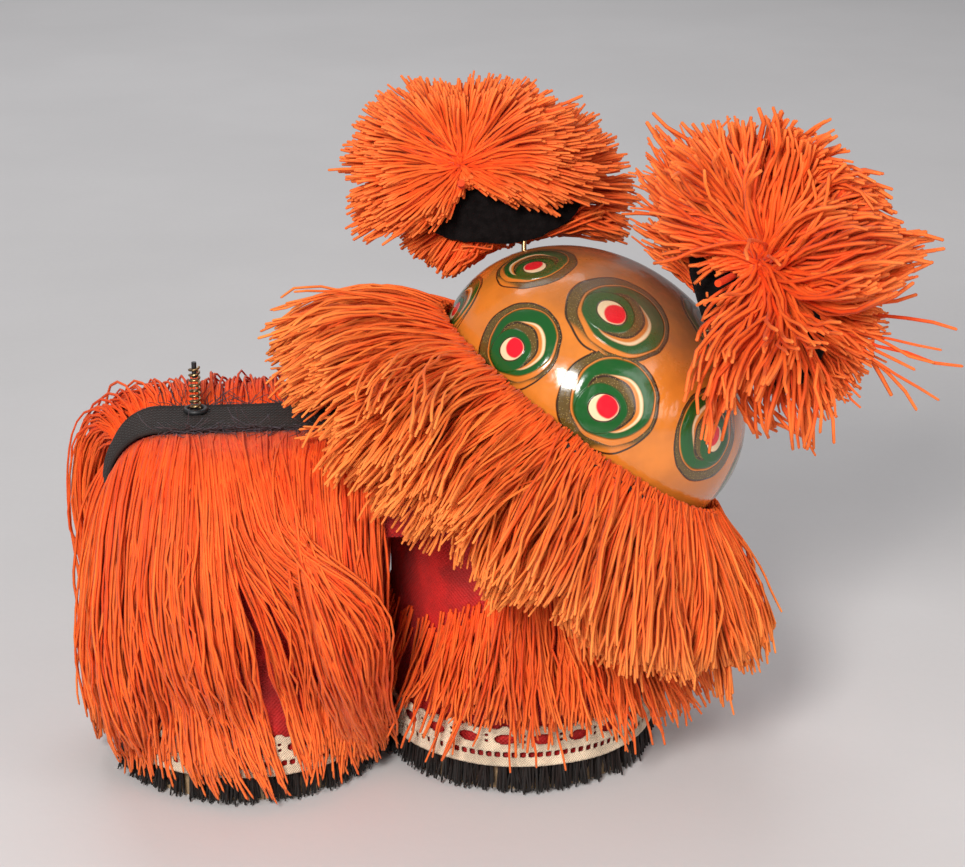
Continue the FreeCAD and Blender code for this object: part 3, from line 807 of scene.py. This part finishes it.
# ---- cloth on the drums and the back ----
def build_cloth(scene):
    woven = woven_material("crimson_weave", scene.figure_cloth.cloth, 1150.0, "cloth", 0.72, 0.00010,
                           0.45, 0.04)
    wadding = mottled_material("cotton_wadding", (0.62, 0.55, 0.45), (0.5, 0.43, 0.34), 200.0, 1800.0,
                               0.95, 0.0006)
    mean = (COVER_RADIUS + CORE_RADIUS) / 2
    for side, centre, seed in (("rear", REAR, 3), ("front", FRONT, 7)):
        def on_drum(along, up):
            turn = along / mean
            radius = COVER_RADIUS - 0.35 + 0.22 * ring_noise(turn, 1.6, up * 0.05 + seed)
            radius += 0.12 * ring_noise(turn, 5, up * 0.12 - seed)
            return on_circle(centre, radius, turn, LACE_LOW + up)

        piece = wrapped_sheet(side + "_cloth", math.tau * mean, BACK_LOW - LACE_LOW, (160, 40), on_drum,
                              -0.3, "cloth", woven)
        stand_in(piece, "root", "crimson_cloth", side + "_cover")
    back = worked_copy("back_cloth", "back_cover", 5.0, 0.18, 6.0, 2, woven)
    stand_in(back, "root", "crimson_cloth", "back_cover")
    for name, node, seed in (("back_stuffing", "back_pad", 4), ("neck_stuffing", "neck_cup", 5)):
        pad = worked_copy(name, node, 6.0, 0.12, 5.0, seed, wadding)
        stand_in(pad, "root", "stuffing", node)


class FIGURE_OT_cloth(Step, bpy.types.Operator):
    """Crimson cloth round the drums and over the stuffed back"""
    bl_idname = "figure.cloth"
    bl_label = "Cloth covers"
    build = staticmethod(build_cloth)


# ---- lace ----
SLOT_LOW, SLOT_HIGH = 1.75, 2.95        # the row of small slots, in millimetres above the lace's foot
LENS_LEVEL, LENS_LONG, LENS_TALL = 5.75, 2.05, 1.05
EYES = ((5.3, 0.42), (6.6, 0.34))       # level and radius of the round holes between the lenses
RAILS = ((0.14, 0.5, 0.45), (0.12, 3.5, 0.4), (0.10, 7.9, 0.5))     # height, level and half width


def build_lace(scene):
    cloth = scene.figure_cloth
    cotton = woven_material("cotton_lace", cloth.lace, 1900.0, "lace", 0.85, 0.00022, 0.55, 0.3)
    around = math.tau * LACE_RADIUS
    tall = LACE_HIGH - LACE_LOW
    big = around / round(around / (cloth.lace_pitch / MM))
    slot_pitch = around / round(around / (cloth.ladder_pitch / MM))

    def is_hole(along, up):
        ladder = abs((along % slot_pitch) / slot_pitch - 0.5) < 0.27 and SLOT_LOW < up < SLOT_HIGH
        across = abs(along % big - big / 2)
        bow = LENS_TALL * math.sqrt(max(0.0, 1 - (across / LENS_LONG) ** 2))
        lens = abs(up - LENS_LEVEL) < bow and across < LENS_LONG
        between = abs((along + big / 2) % big - big / 2)
        eye = any(math.hypot(between, up - level) < radius for level, radius in EYES)
        scallop = up > tall - 0.62 + 0.42 * math.cos(along / (big / 2) * math.tau)
        return ladder or lens or eye or scallop

    for side, centre, seed in (("rear", REAR, 21), ("front", FRONT, 22)):
        def on_hem(along, up):
            turn = along / LACE_RADIUS
            # three thicker rails run round the band, knotted at each slot
            rail = sum(high * math.exp(-((up - level) / half) ** 2) for high, level, half in RAILS)
            knot = math.sin(along / slot_pitch * math.tau) * 0.07
            soft = ring_noise(turn, 3, seed + up * 0.15)
            radius = LACE_RADIUS - 0.22 + 0.16 * soft + rail + knot * (rail * 4)
            return on_circle(centre, radius, turn, LACE_LOW + up + 0.25 * ring_noise(turn, 2, seed))

        cells = (int(around / 0.34), int(tall / 0.30))
        piece = wrapped_sheet(side + "_lace_band", around, tall, cells, on_hem, -0.45, "lace", cotton,
                              is_hole)
        stand_in(piece, "root", "cream_lace", side + "_lace")


class FIGURE_OT_lace(Step, bpy.types.Operator):
    """Cotton lace round the hem of each drum, with real holes"""
    bl_idname = "figure.lace"
    bl_label = "Lace bands"
    build = staticmethod(build_lace)


# ---- spine tape and tail ----
def build_tape(scene):
    flat_run = TAPE_HIGH[0] - (REAR[0] - BACK_INSET)
    corner = BACK_EDGE + 1.4
    bend_run = corner * math.pi / 2
    total = flat_run + bend_run + max(0.0, BACK_TOP - BACK_EDGE - TAPE_LOW[2])

    def on_back(along, side):
        selvage = 0.18 * smooth(1.2, 0.2, min(side, TAPE_WIDTH - side))
        ribs = 0.13 * math.cos(side / TAPE_WIDTH * math.tau * 9)
        lift = corner - 0.25 + ribs * 1.0 + float(selvage) + 0.2 * soft_noise(along * 0.15, side * 0.1, 0)
        y = side - TAPE_WIDTH / 2 + 0.35 * soft_noise(along * 0.06, side * 0.02, 3.0)
        if along < flat_run:
            return TAPE_HIGH[0] - along, y, BACK_TOP - BACK_EDGE + lift
        turn = min(math.pi / 2, (along - flat_run) / corner)
        dropped = max(0.0, along - flat_run - bend_run)
        x = TAPE_HIGH[0] - flat_run - lift * math.sin(turn)
        # the back's rear end is round in plan, so the tape's edges lie further forward
        x += (COVER_RADIUS - math.sqrt(COVER_RADIUS ** 2 - y * y)) * math.sin(turn)
        return x, y, BACK_TOP - BACK_EDGE + lift * math.cos(turn) - dropped

    piece = wrapped_sheet("spine_ribbon", total, TAPE_WIDTH, (150, 72), on_back, -0.8, "tape",
                          ribbed_tape(scene.figure_cloth), closed=False)
    stand_in(piece, "root", "black_tape", "spine_tape")

    rng = np.random.default_rng(31)
    count = 620
    even, near, about = draws(rng, count)
    sides = rng.choice([-1.0, 1.0], count)
    roots = columns(even(TAPE_LOW[0] + 12, TAPE_HIGH[0] - 1), sides * (TAPE_WIDTH / 2 - 0.3), BACK_TOP + 1.0)
    heads = columns(near(0, 0.9), sides * even(0.3, 1.0), even(0.0, 0.5))
    curl = about(0.14)
    paths = lay_threads(roots, heads, even(2.0, 6.5), 8, lambda *_: curl + DOWN * 0.06,
                        [(trunk_gap, np.full(count, 0.9))])
    fluff = thread_material("tape_fluff", (0.085, 0.050, 0.042), 0.2)
    thread_piece("tape_fluff", paths, 5, 0.00013, rng, fluff, "black_tape", "root", [])
    waxed = mottled_material("waxed_thread", (0.020, 0.020, 0.022), (0.008, 0.008, 0.009), 900.0, 7000.0,
                             0.5, 0.00008)
    show_nodes(dull_brass(), "tail_spring")
    show_nodes(waxed, "tail_stub", "tail_knot")


class FIGURE_OT_tape(Step, bpy.types.Operator):
    """Ribbed tape along the back with its loose fluff, and the coiled tail wire"""
    bl_idname = "figure.tape"
    bl_label = "Tape and tail"
    build = staticmethod(build_tape)


# ---- body fringe ----
def rear_half(threads, cotton, name, side, rng):
    """The long threads from one edge of the tape down one side of the rear drum."""
    count = threads.body_strands
    even, near, about = draws(rng, count)
    rise = 0.17                         # share of the threads that leave the tape's lowered rear end
    share = even(0, 1)
    under = even(0, 1) < 0.09           # sewn under the end of the tape, behind
    share = np.where(under, 0.0, share)
    edge_y = TAPE_WIDTH / 2 - 0.6
    half = np.where(under, even(0, edge_y), edge_y)
    tape_front = TAPE_HIGH[0] - (11.0 if side < 0 else 1.0)
    start_x = REAR[0] - math.sqrt(BACK_INSET ** 2 - edge_y ** 2)
    turn = np.clip((rise - share) / rise, 0, 1) * math.radians(72)
    reach = BACK_INSET + BACK_EDGE * np.sin(turn)
    x = np.where(share > rise, start_x + (tape_front - start_x) * (share - rise) / (1 - rise),
                 REAR[0] - np.sqrt(np.maximum(reach ** 2 - half ** 2, 0)))
    roots = columns(x, side * half, BACK_TOP - BACK_EDGE + BACK_EDGE * np.cos(turn) + 0.2)
    outward = unit(columns(x - np.clip(x, REAR[0], BACK_FRONT), side * half, 0.0))
    crosswise = np.array([0.0, side, 0.0])
    swell = rng.gamma(1.6, 0.40, count)
    rear_end = smooth(0.35, 0.0, share)
    if side > 0:
        heads = crosswise + outward * (rear_end * even(0.2, 0.9))[:, None] + UP * even(0.3, 1.4)[:, None]
        swell = swell * 1.2 + rear_end * even(0, 3.0)
    else:
        heads = crosswise + outward * (rear_end * even(0.0, 0.3))[:, None]
        heads = heads + UP * (even(0.0, 0.22) * (1 - rear_end))[:, None]
    heads = np.where(under[:, None], DOWN + outward * 0.2, heads) + about(0.05)
    lift = 0.35 + np.minimum(swell, 5)
    # on the near side the threads sweep forward, which opens the gap that shows the cloth
    swirl = (smooth(0.34, 0.44, share) - smooth(0.60, 0.72, share)) * (side < 0)
    stiff = even(0.8, 1.25)
    notch = REAR[0] + LACE_RADIUS - 2.0
    if side < 0:
        onward = np.clip((share - rise) / (1 - rise), 0, 1)
        hem_x = np.minimum(x + 11 + 16 * onward, notch + near(0, 1.8))
        rear_hem = REAR[0] - LACE_RADIUS - 2 + even(0, 27)
    else:
        hem_x = np.minimum(x + near(0, 3.0), notch)
        rear_hem = REAR[0] - LACE_RADIUS - 3 + even(0, 10)
    hem_x = np.where(share < rise, rear_hem, hem_x) + near(0, 1.4)
    hem_x = np.where(under, x - 3.0, hem_x)
    lengths = near(threads.body_length / MM + 4, 3)
    early = smooth(0.62, 0.85, share)
    field = breeze(rng, 26.0)

    def pull(points, heading, along):
        late = smooth(0.28, 0.55, along) * (1 - early) + smooth(0.08, 0.30, along) * early
        middle = float(smooth(0.26, 0.36, along) - smooth(0.46, 0.58, along))
        left = np.maximum(lengths * (1 - along) * (1 - 0.45 * early), 6.0)
        slope = np.clip((hem_x - points[:, 0]) / left, -1.2, 0.9)
        loose = np.clip(trunk_gap(points) - lift, 0, 5)
        bend = columns(0.12 * late * (slope - heading[:, 0]) + 0.12 * swirl * middle,
                       -side * 0.016 * loose * smooth(0.45, 0.65, along),
                       -0.095 * stiff * (1 - 0.45 * swirl * middle))
        return bend + field(points) * 0.010

    paths = lay_threads(roots, heads, lengths, 44, pull, [(trunk_gap, lift)])
    paths = ripple(gather(paths, 52, 0.60, rng, 1.6), 0.30, 21.0, rng)
    hem = near(10.5, 2.6) + 3.0 * smooth(0.2, 0.0, share)
    hem = np.where(even(0, 1) < 0.22, even(3, 9), hem)
    keep = share_above(paths, np.maximum(hem, 1.5))
    if side > 0:
        keep = keep * np.where(even(0, 1) < 0.2, even(0.75, 1), 1.0)
    thread_piece("rear_threads_" + name, paths, 19, threads.body_width, rng, cotton, "orange_thread",
                 "root", ["rear_fringe_" + name], keep)


def front_half(threads, cotton, name, side, rng):
    """The shorter threads round one side of the front drum, sparse in the notch between the drums."""
    turn = side * rng.uniform(0, math.pi, 660)
    turn = turn[(np.cos(turn) > -0.62) | (rng.uniform(0, 1, len(turn)) < 0.3)]
    count = len(turn)
    even, near, about = draws(rng, count)
    out = columns(np.cos(turn), np.sin(turn), 0.0)
    along = columns(-np.sin(turn), np.cos(turn), 0.0)
    ahead = smooth(-0.2, 0.9, np.cos(turn))
    behind = smooth(0.1, -0.9, np.cos(turn))
    start = even(42, 47) - 11.0 * behind
    roots = FRONT + out * (COVER_RADIUS + 0.3) + UP * start[:, None]
    for _ in range(24):                 # clear of the cup that the ball sits in
        roots[:, 2] -= 0.5 * (ball_gap(roots) < 6.0)
    spread = (ahead * 0.35 - behind * 0.45) * np.where(along[:, 0] > 0, 1, -1)
    heads = DOWN + out * even(0.05, 0.3)[:, None] + along * (spread * 0.5)[:, None]
    heads = heads + about(0.08)
    lift = 0.4 + rng.gamma(1.6, 0.45, count) + ahead * even(0, 3.5)
    wander = near(0, 0.010)

    def pull(points, heading, share):
        bend = along * ((spread * 0.028 + wander)[:, None]) + DOWN * 0.03
        return bend + out * (ahead * 0.006)[:, None]

    lengths = near(35, 3.0) + np.where(even(0, 1) < 0.10, 8, 0)
    paths = lay_threads(roots, heads, lengths, 20, pull, [(trunk_gap, lift)])
    paths = ripple(gather(paths, 34, 0.6, rng, 1.5), 0.30, 14.0, rng)
    longer = even(0, 1) < 0.10
    hem = np.where(longer, even(6, 14), near(18.8, 2.0) - 4.0 * ahead)
    thread_piece("front_threads_" + name, paths, 11, threads.body_width, rng, cotton, "orange_thread",
                 "root", ["front_fringe_" + name], share_above(paths, hem))


def build_fringe(scene):
    threads = scene.figure_threads
    cotton = thread_material("body_thread", threads.body_colour)
    for name, side, seed in (("near", -1.0, 41), ("far", 1.0, 42)):
        rear_half(threads, cotton, name, side, np.random.default_rng(seed))
        front_half(threads, cotton, name, side, np.random.default_rng(seed + 2))


class FIGURE_OT_fringe(Step, bpy.types.Operator):
    """Thread fringe from the tape down the rear drum, and round the front drum"""
    bl_idname = "figure.fringe"
    bl_label = "Body fringe"
    build = staticmethod(build_fringe)


# ---- neck ----
def ball_radius(level, grow, head):
    """Radius round the dome axis of the ball, grown a little, at a level along that axis."""
    equator, pole = head.equator / MM + grow, head.pole / MM + grow
    return equator * math.sqrt(max(0.0, 1 - (level / pole) ** 2))


def build_neck(scene):
    head = scene.figure_head
    low, tall = -9.0, 3.3               # level of the binding's lower edge, and its height
    mean = ball_radius(low, 3.2, head)

    def on_ball(along, up):
        level, turn = low + up, along / mean
        radius = ball_radius(level, 3.3, head) + 0.08 * math.cos(up * math.tau / 0.9)
        return HEAD + DOME * level + (AHEAD * math.cos(turn) + ACROSS * math.sin(turn)) * radius

    piece = wrapped_sheet("mane_binding", math.tau * mean, tall, (180, 12), on_ball, -0.9, "tape",
                          ribbed_tape(scene.figure_cloth))
    stand_in(piece, "root", "black_tape", "mane_band")
    show_nodes(raw_wood(), "neck_post", "head_hub")
    show_nodes(dull_brass(), "nod_pin", "nod_springs", "nod_yoke", "spindle_cap")


class FIGURE_OT_neck(Step, bpy.types.Operator):
    """Binding that the mane is sewn to, and the wooden and brass parts inside the head"""
    bl_idname = "figure.neck"
    bl_label = "Neck"
    build = staticmethod(build_neck)


# ---- head ----
MOUTH = -24.8               # level of the round opening for the neck post, in millimetres
# Painted swirls: turn round the dome axis, height above the ball's widest circle, both in degrees,
# then radius in millimetres, roll in degrees, and 1 or -1 for a mirrored one.
SWIRLS = (
    (-142, 5, 8.8, 0, 1), (-122, 43, 10.4, -50, 1), (-104, 10, 9.9, -5, 1), (-61, 21, 9.4, 95, 1),
    (-172, 34, 8.2, 60, -1), (176, -3, 7.4, 15, 1), (-45, 68, 8.6, 35, -1), (-22, 8, 8.2, 110, 1),
    (15, 38, 9.4, -40, 1), (48, 3, 9.0, 25, -1), (78, 40, 9.8, 70, 1), (108, 6, 9.2, -20, 1),
    (142, 34, 9.0, 40, -1), (150, -8, 6.8, 5, 1), (20, -6, 7.0, 60, 1),
)


def swirl_mark(head, turn, lift, radius, roll, mirror):
    """Centre, two directions along the surface and radius of a painted swirl, in metres."""
    turn, lift, roll = (math.radians(angle) for angle in (turn, lift, roll))
    centre = Vector((math.cos(lift) * math.cos(turn) * head.equator,
                     math.cos(lift) * math.sin(turn) * head.equator, math.sin(lift) * head.pole))
    normal = Vector((centre.x / head.equator ** 2, centre.y / head.equator ** 2,
                     centre.z / head.pole ** 2)).normalized()
    right = Vector((-math.sin(turn), math.cos(turn), 0.0))
    up = normal.cross(right)
    first = right * math.cos(roll) + up * math.sin(roll)
    return centre, first * mirror, up * math.cos(roll) - right * math.sin(roll), radius * MM


def build_head(scene):
    head = scene.figure_head
    shape = bmesh.new()
    bmesh.ops.create_uvsphere(shape, u_segments=192, v_segments=112, radius=1.0)
    stretch = Matrix.Diagonal((head.equator, head.equator, head.pole, 1.0))
    bmesh.ops.transform(shape, matrix=stretch, verts=shape.verts)
    everything = shape.verts[:] + shape.edges[:] + shape.faces[:]
    bmesh.ops.bisect_plane(shape, geom=everything, plane_co=(0, 0, MOUTH * MM), plane_no=(0, 0, 1),
                           clear_inner=True)
    marks = [swirl_mark(head, *swirl) for swirl in SWIRLS]
    layer = shape.loops.layers.uv.new("swirls")
    for face in shape.faces:
        middle = face.calc_center_median()
        centre, first, second, radius = min(marks, key=lambda m: (middle - m[0]).length / m[3])
        for loop in face.loops:
            offset = loop.vert.co - centre
            spread = offset.length / max(1e-9, math.hypot(offset.dot(first), offset.dot(second)))
            spread = min(1.3, spread) / radius
            loop[layer].uv = (offset.dot(first) * spread, offset.dot(second) * spread)
    thicken(shape, 2)
    placed = Matrix.Translation(Vector(HEAD) * MM) @ Matrix(HEAD_AXES.tolist()).transposed().to_4x4()
    bmesh.ops.transform(shape, matrix=placed, verts=shape.verts)
    ball = mesh_piece("painted_head", shape, lacquer_material(head))
    stand_in(ball, "head", "lacquer", "head_upper_shell", "head_lower_shell")


class FIGURE_OT_head(Step, bpy.types.Operator):
    """Hollow ball head, lacquered ochre and painted with swirls"""
    bl_idname = "figure.head"
    bl_label = "Head"
    build = staticmethod(build_head)


# ---- mane ----
def mane_tier(scene, cotton, name, seed, top):
    threads, head = scene.figure_threads, scene.figure_head
    rng = np.random.default_rng(seed)
    count = threads.mane_strands
    even, near, about = draws(rng, count)
    turn = even(-math.pi, math.pi)
    out = np.cos(turn)[:, None] * AHEAD + np.sin(turn)[:, None] * ACROSS
    round_way = -np.sin(turn)[:, None] * AHEAD + np.cos(turn)[:, None] * ACROSS
    level = even(-5.0, -3.6) if top else even(-7.0, -5.2)
    grow = even(0.9, 2.4) if top else even(2.4, 4.4)
    radius = np.array([ball_radius(l, g, head) for l, g in zip(level, grow)])
    roots = HEAD + DOME * level[:, None] + out * radius[:, None]
    front = smooth(0.2, 1.0, np.cos(turn))
    rear = smooth(0.2, 1.0, -np.cos(turn))
    beside = 1 - front - rear
    sink = front * even(20, 52) + rear * even(3, 54)
    sink = np.radians(sink + beside * even(30, 62) + (0 if top else 14))
    heads = out * np.cos(sink)[:, None] - DOME * np.sin(sink)[:, None]
    heads = heads + round_way * near(0, 0.07)[:, None]
    heads = heads + np.array([-1, 0, 0]) * (beside * even(0.0, 0.35))[:, None]
    lift = even(0.6, 2.5) + (2.5 if top else 0.6)
    curl = about(0.006)
    fall = 0.010 + 0.014 * beside + 0.012 * front + even(0, 0.008)
    field = breeze(rng, 22.0)

    def pull(points, heading, share):
        return curl * (0.5 + share) + DOWN * fall[:, None] + field(points) * 0.016

    lengths = near(threads.mane_length / MM, 1.8) - 4.5 * beside - 6.0 * front - 2.5 * rear
    lengths = lengths + np.where(even(0, 1) < 0.06, even(0, 5), 0)
    paths = lay_threads(roots, heads, lengths, 22, pull,
                        [(ball_gap, np.full(count, 1.0)), (trunk_gap, lift + 1.6)])
    paths = ripple(gather(paths, 60, 0.66, rng, 1.7), 0.27, 19.0, rng)
    thread_piece("mane_threads_" + name, paths, 12, threads.mane_width, rng, cotton, "mane_thread", "root",
                 [f"mane_{name}_threads"])


def build_mane(scene):
    cotton = thread_material("mane_cotton", scene.figure_threads.mane_colour, 0.45)
    mane_tier(scene, cotton, "upper", 51, True)
    mane_tier(scene, cotton, "lower", 52, False)


class FIGURE_OT_mane(Step, bpy.types.Operator):
    """Two tiers of threads that flare from the binding under the ball"""
    bl_idname = "figure.mane"
    bl_label = "Mane"
    build = staticmethod(build_mane)


# ---- ears ----
# For each ear: reaches of the tuft and of the fringe in millimetres, every eighth of a turn from along
# the leaf, towards away from the ball; how far out the tuft is tied; how messy it is; and its seed.
EARS = (
    ("left_ear", (30, 21, 14, 21, 22, 24, 3, 4), (28, 24, 15, 21, 23, 20, 18, 25), 4.2, 0.2, 61),
    ("right_ear", (38, 30, 24, 29, 28, 9, 3, 5), (25, 23, 19, 27, 38, 24, 12, 12), 6.0, 1.0, 66),
)


def reach_at(turn, reach):
    """Distance from the middle to the rim at a turn, between evenly spaced reaches."""
    stations = np.arange(len(reach) + 1) * math.tau / len(reach)
    return np.interp(turn % math.tau, stations, [*reach, reach[0]])


LEAF_TIP, LEAF_TAIL, LEAF_HALF = 17.5, 20.0, 11.0   # reaches of the felt leaf, in millimetres


def ear_leaf(ear, middle, axes, felt, seed):
    side, out, face = axes
    shape = bmesh.new()
    bmesh.ops.create_circle(shape, cap_ends=True, segments=72, radius=1.0)
    bmesh.ops.poke(shape, faces=shape.faces[:])
    bmesh.ops.subdivide_edges(shape, edges=shape.edges[:], cuts=5, use_grid_fill=True)
    for vert in shape.verts:
        x, y = vert.co.x * (LEAF_TIP if vert.co.x > 0 else LEAF_TAIL), vert.co.y * LEAF_HALF
        curl = 1.6 * soft_noise(x * 0.13, y * 0.20, seed)
        curl += 0.5 * soft_noise(x * 0.5, y * 0.5, seed + 4)
        ragged = 1 + 0.035 * soft_noise(vert.co.x * 3, vert.co.y * 3, seed + 9)
        vert.co = Vector(middle + side * x * ragged + out * y * ragged + face * (1.4 + curl * 0.6)) * MM
    thicken(shape, 1.5)
    item = stand_in(mesh_piece(ear + "_felt", shape, felt), ear, "black_felt", ear + "_leaf")


def ear_fringe(ear, middle, axes, reach, threads, cotton, rng, messy):
    """Flat spray of threads behind the leaf."""
    side, out, face = axes
    count = 1500
    even, near, about = draws(rng, count)
    turn = even(0, math.tau)
    flat = np.cos(turn)[:, None] * side + np.sin(turn)[:, None] * out
    rim = reach_at(turn, reach)
    start = 0.45 * rim * even(0.3, 1.0)
    roots = middle + flat * start[:, None] - face * even(0.8, 4.5)[:, None]
    heads = flat - face * even(-0.05, 0.40)[:, None]
    heads = heads + about(0.06 + 0.08 * messy)
    lengths = np.maximum(rim - start, 3) * near(1.0, 0.045 + 0.05 * messy)
    curl = about(0.005 + 0.014 * messy)
    paths = lay_threads(roots, heads, lengths, 16, lambda *_: curl + DOWN * 0.006,
                        [(ball_gap, even(3.0, 4.6))])
    paths = ripple(gather(paths, 60, 0.30, rng, 1.5), 0.12 + 0.25 * messy, 12.0, rng)
    thread_piece(ear + "_fringe_threads", paths, 8, threads.ear_width, rng, cotton, "orange_thread", ear,
                 [ear + "_fringe"])


def ear_tuft(ear, tie, axes, reach, threads, cotton, rng, messy):
    """Pompon of threads that spread from the tie on the front of the leaf."""
    side, out, face = axes
    count = int(2200 - 700 * messy)
    even, near, about = draws(rng, count)
    turn = even(0, math.tau)
    flat = np.cos(turn)[:, None] * side + np.sin(turn)[:, None] * out
    tilt = np.arccos(even(-0.12, 0.50))
    heads = flat * np.sin(tilt)[:, None] + face * np.cos(tilt)[:, None]
    depth = 11.0 + 6.0 * messy
    span = 1 / np.sqrt((np.sin(tilt) / reach_at(turn, reach)) ** 2 + (np.cos(tilt) / depth) ** 2)
    roots = tie + heads * 0.6 + about(0.6)
    curl = about(0.005 + 0.024 * messy)
    lengths = span * near(1.0, 0.035 + 0.08 * messy)
    stray = even(0, 1) < 0.006 + 0.015 * messy
    lengths = lengths * np.where(stray, 1.15, 1.0)
    curl = curl * np.where(stray, 3.0, 1.0)[:, None]
    lift = even(2.4, 4.2)
    field = breeze(rng, 26.0)

    def pull(points, heading, share):
        bend = curl * (1.2 - share) + flat * 0.022 + DOWN * (0.004 + 0.010 * messy)
        return bend + field(points) * (0.006 + 0.056 * messy)

    paths = lay_threads(roots, heads + face * 0.15, lengths, 18, pull, [(ball_gap, lift)])
    paths = ripple(gather(paths, 90, 0.30 + 0.28 * messy, rng, 1.2), 0.14 + 0.22 * messy, 15.0, rng)
    thread_piece(ear + "_tuft", paths, 9, threads.ear_width * (1 + 0.35 * messy), rng, cotton,
                 "orange_thread", ear, [ear + "_pompon"])


def build_ears(scene):
    threads, black = scene.figure_threads, scene.figure_cloth.felt
    cotton = thread_material("ear_thread", threads.ear_colour, 0.5)
    felt = mottled_material("fuzzy_felt", black, [c * 2.0 + 0.001 for c in black], 700.0, 3000.0,
                            0.95, 0.0004, 0.0, 0.02, 0.08)
    for ear, tuft_reach, fringe_reach, out_by, messy, seed in EARS:
        rng = np.random.default_rng(seed)
        root = np.array(JOINTS[ear + "_sway"]["pos_m"]) / MM
        side = unit(JOINTS[ear + "_sway"]["axis"])
        out = unit((root - HEAD) - side * np.dot(root - HEAD, side))
        axes = side, out, np.cross(side, out)
        leaf = sum(box_mm(ear + "_leaf")) / 2 - root
        stitch = sum(box_mm(ear + "_stitch")) / 2 - root
        middle = root + side * leaf.dot(side) + out * leaf.dot(out)
        tie = root + side * stitch.dot(side) + out * (leaf.dot(out) + out_by) + axes[2] * 3.4
        ear_leaf(ear, middle, axes, felt, seed)
        ear_fringe(ear, middle, axes, fringe_reach, threads, cotton, rng, messy)
        ear_tuft(ear, tie, axes, tuft_reach, threads, cotton, rng, messy)
        show_nodes(dull_brass(), ear + "_wire")
        show_nodes(cotton, ear + "_stitch")


class FIGURE_OT_ears(Step, bpy.types.Operator):
    """Felt leaf, thread fringe behind it and thread tuft tied on its front, for each ear"""
    bl_idname = "figure.ears"
    bl_label = "Ears"
    build = staticmethod(build_ears)


class FIGURE_PT_panel(bpy.types.Panel):
    """Sizes and colours of the figure, and the steps that build it"""
    bl_idname = "FIGURE_PT_panel"
    bl_label = "Fringed Folk Beast"
    bl_space_type = "VIEW_3D"
    bl_region_type = "UI"
    bl_category = "Figure"

    def draw(self, context):
        for group in GROUPS:
            settings = getattr(context.scene, group)
            column = self.layout.box().column()
            for name in settings.bl_rna.properties.keys():
                if name not in ("rna_type", "name"):
                    column.prop(settings, name)
        for step in STEPS:
            self.layout.operator(step.bl_idname)


GROUPS = {"figure_threads": FigureThreads, "figure_cloth": FigureCloth,
          "figure_head": FigureHead, "figure_stage": FigureStage}
STEPS = (FIGURE_OT_stage, FIGURE_OT_drums, FIGURE_OT_cloth, FIGURE_OT_lace, FIGURE_OT_tape,
         FIGURE_OT_fringe, FIGURE_OT_neck, FIGURE_OT_head, FIGURE_OT_mane, FIGURE_OT_ears)
CLASSES = (*GROUPS.values(), *STEPS, FIGURE_PT_panel)


def register():
    for item in CLASSES:
        bpy.utils.register_class(item)
    for name, group in GROUPS.items():
        setattr(bpy.types.Scene, name, bpy.props.PointerProperty(type=group))


def unregister():
    for name in GROUPS:
        delattr(bpy.types.Scene, name)
    for item in reversed(CLASSES):
        bpy.utils.unregister_class(item)


def main():
    """Build every piece in order."""
    register()
    for step in STEPS:
        family, name = step.bl_idname.split(".")
        getattr(getattr(bpy.ops, family), name)()


if __name__ == "__main__":
    main()
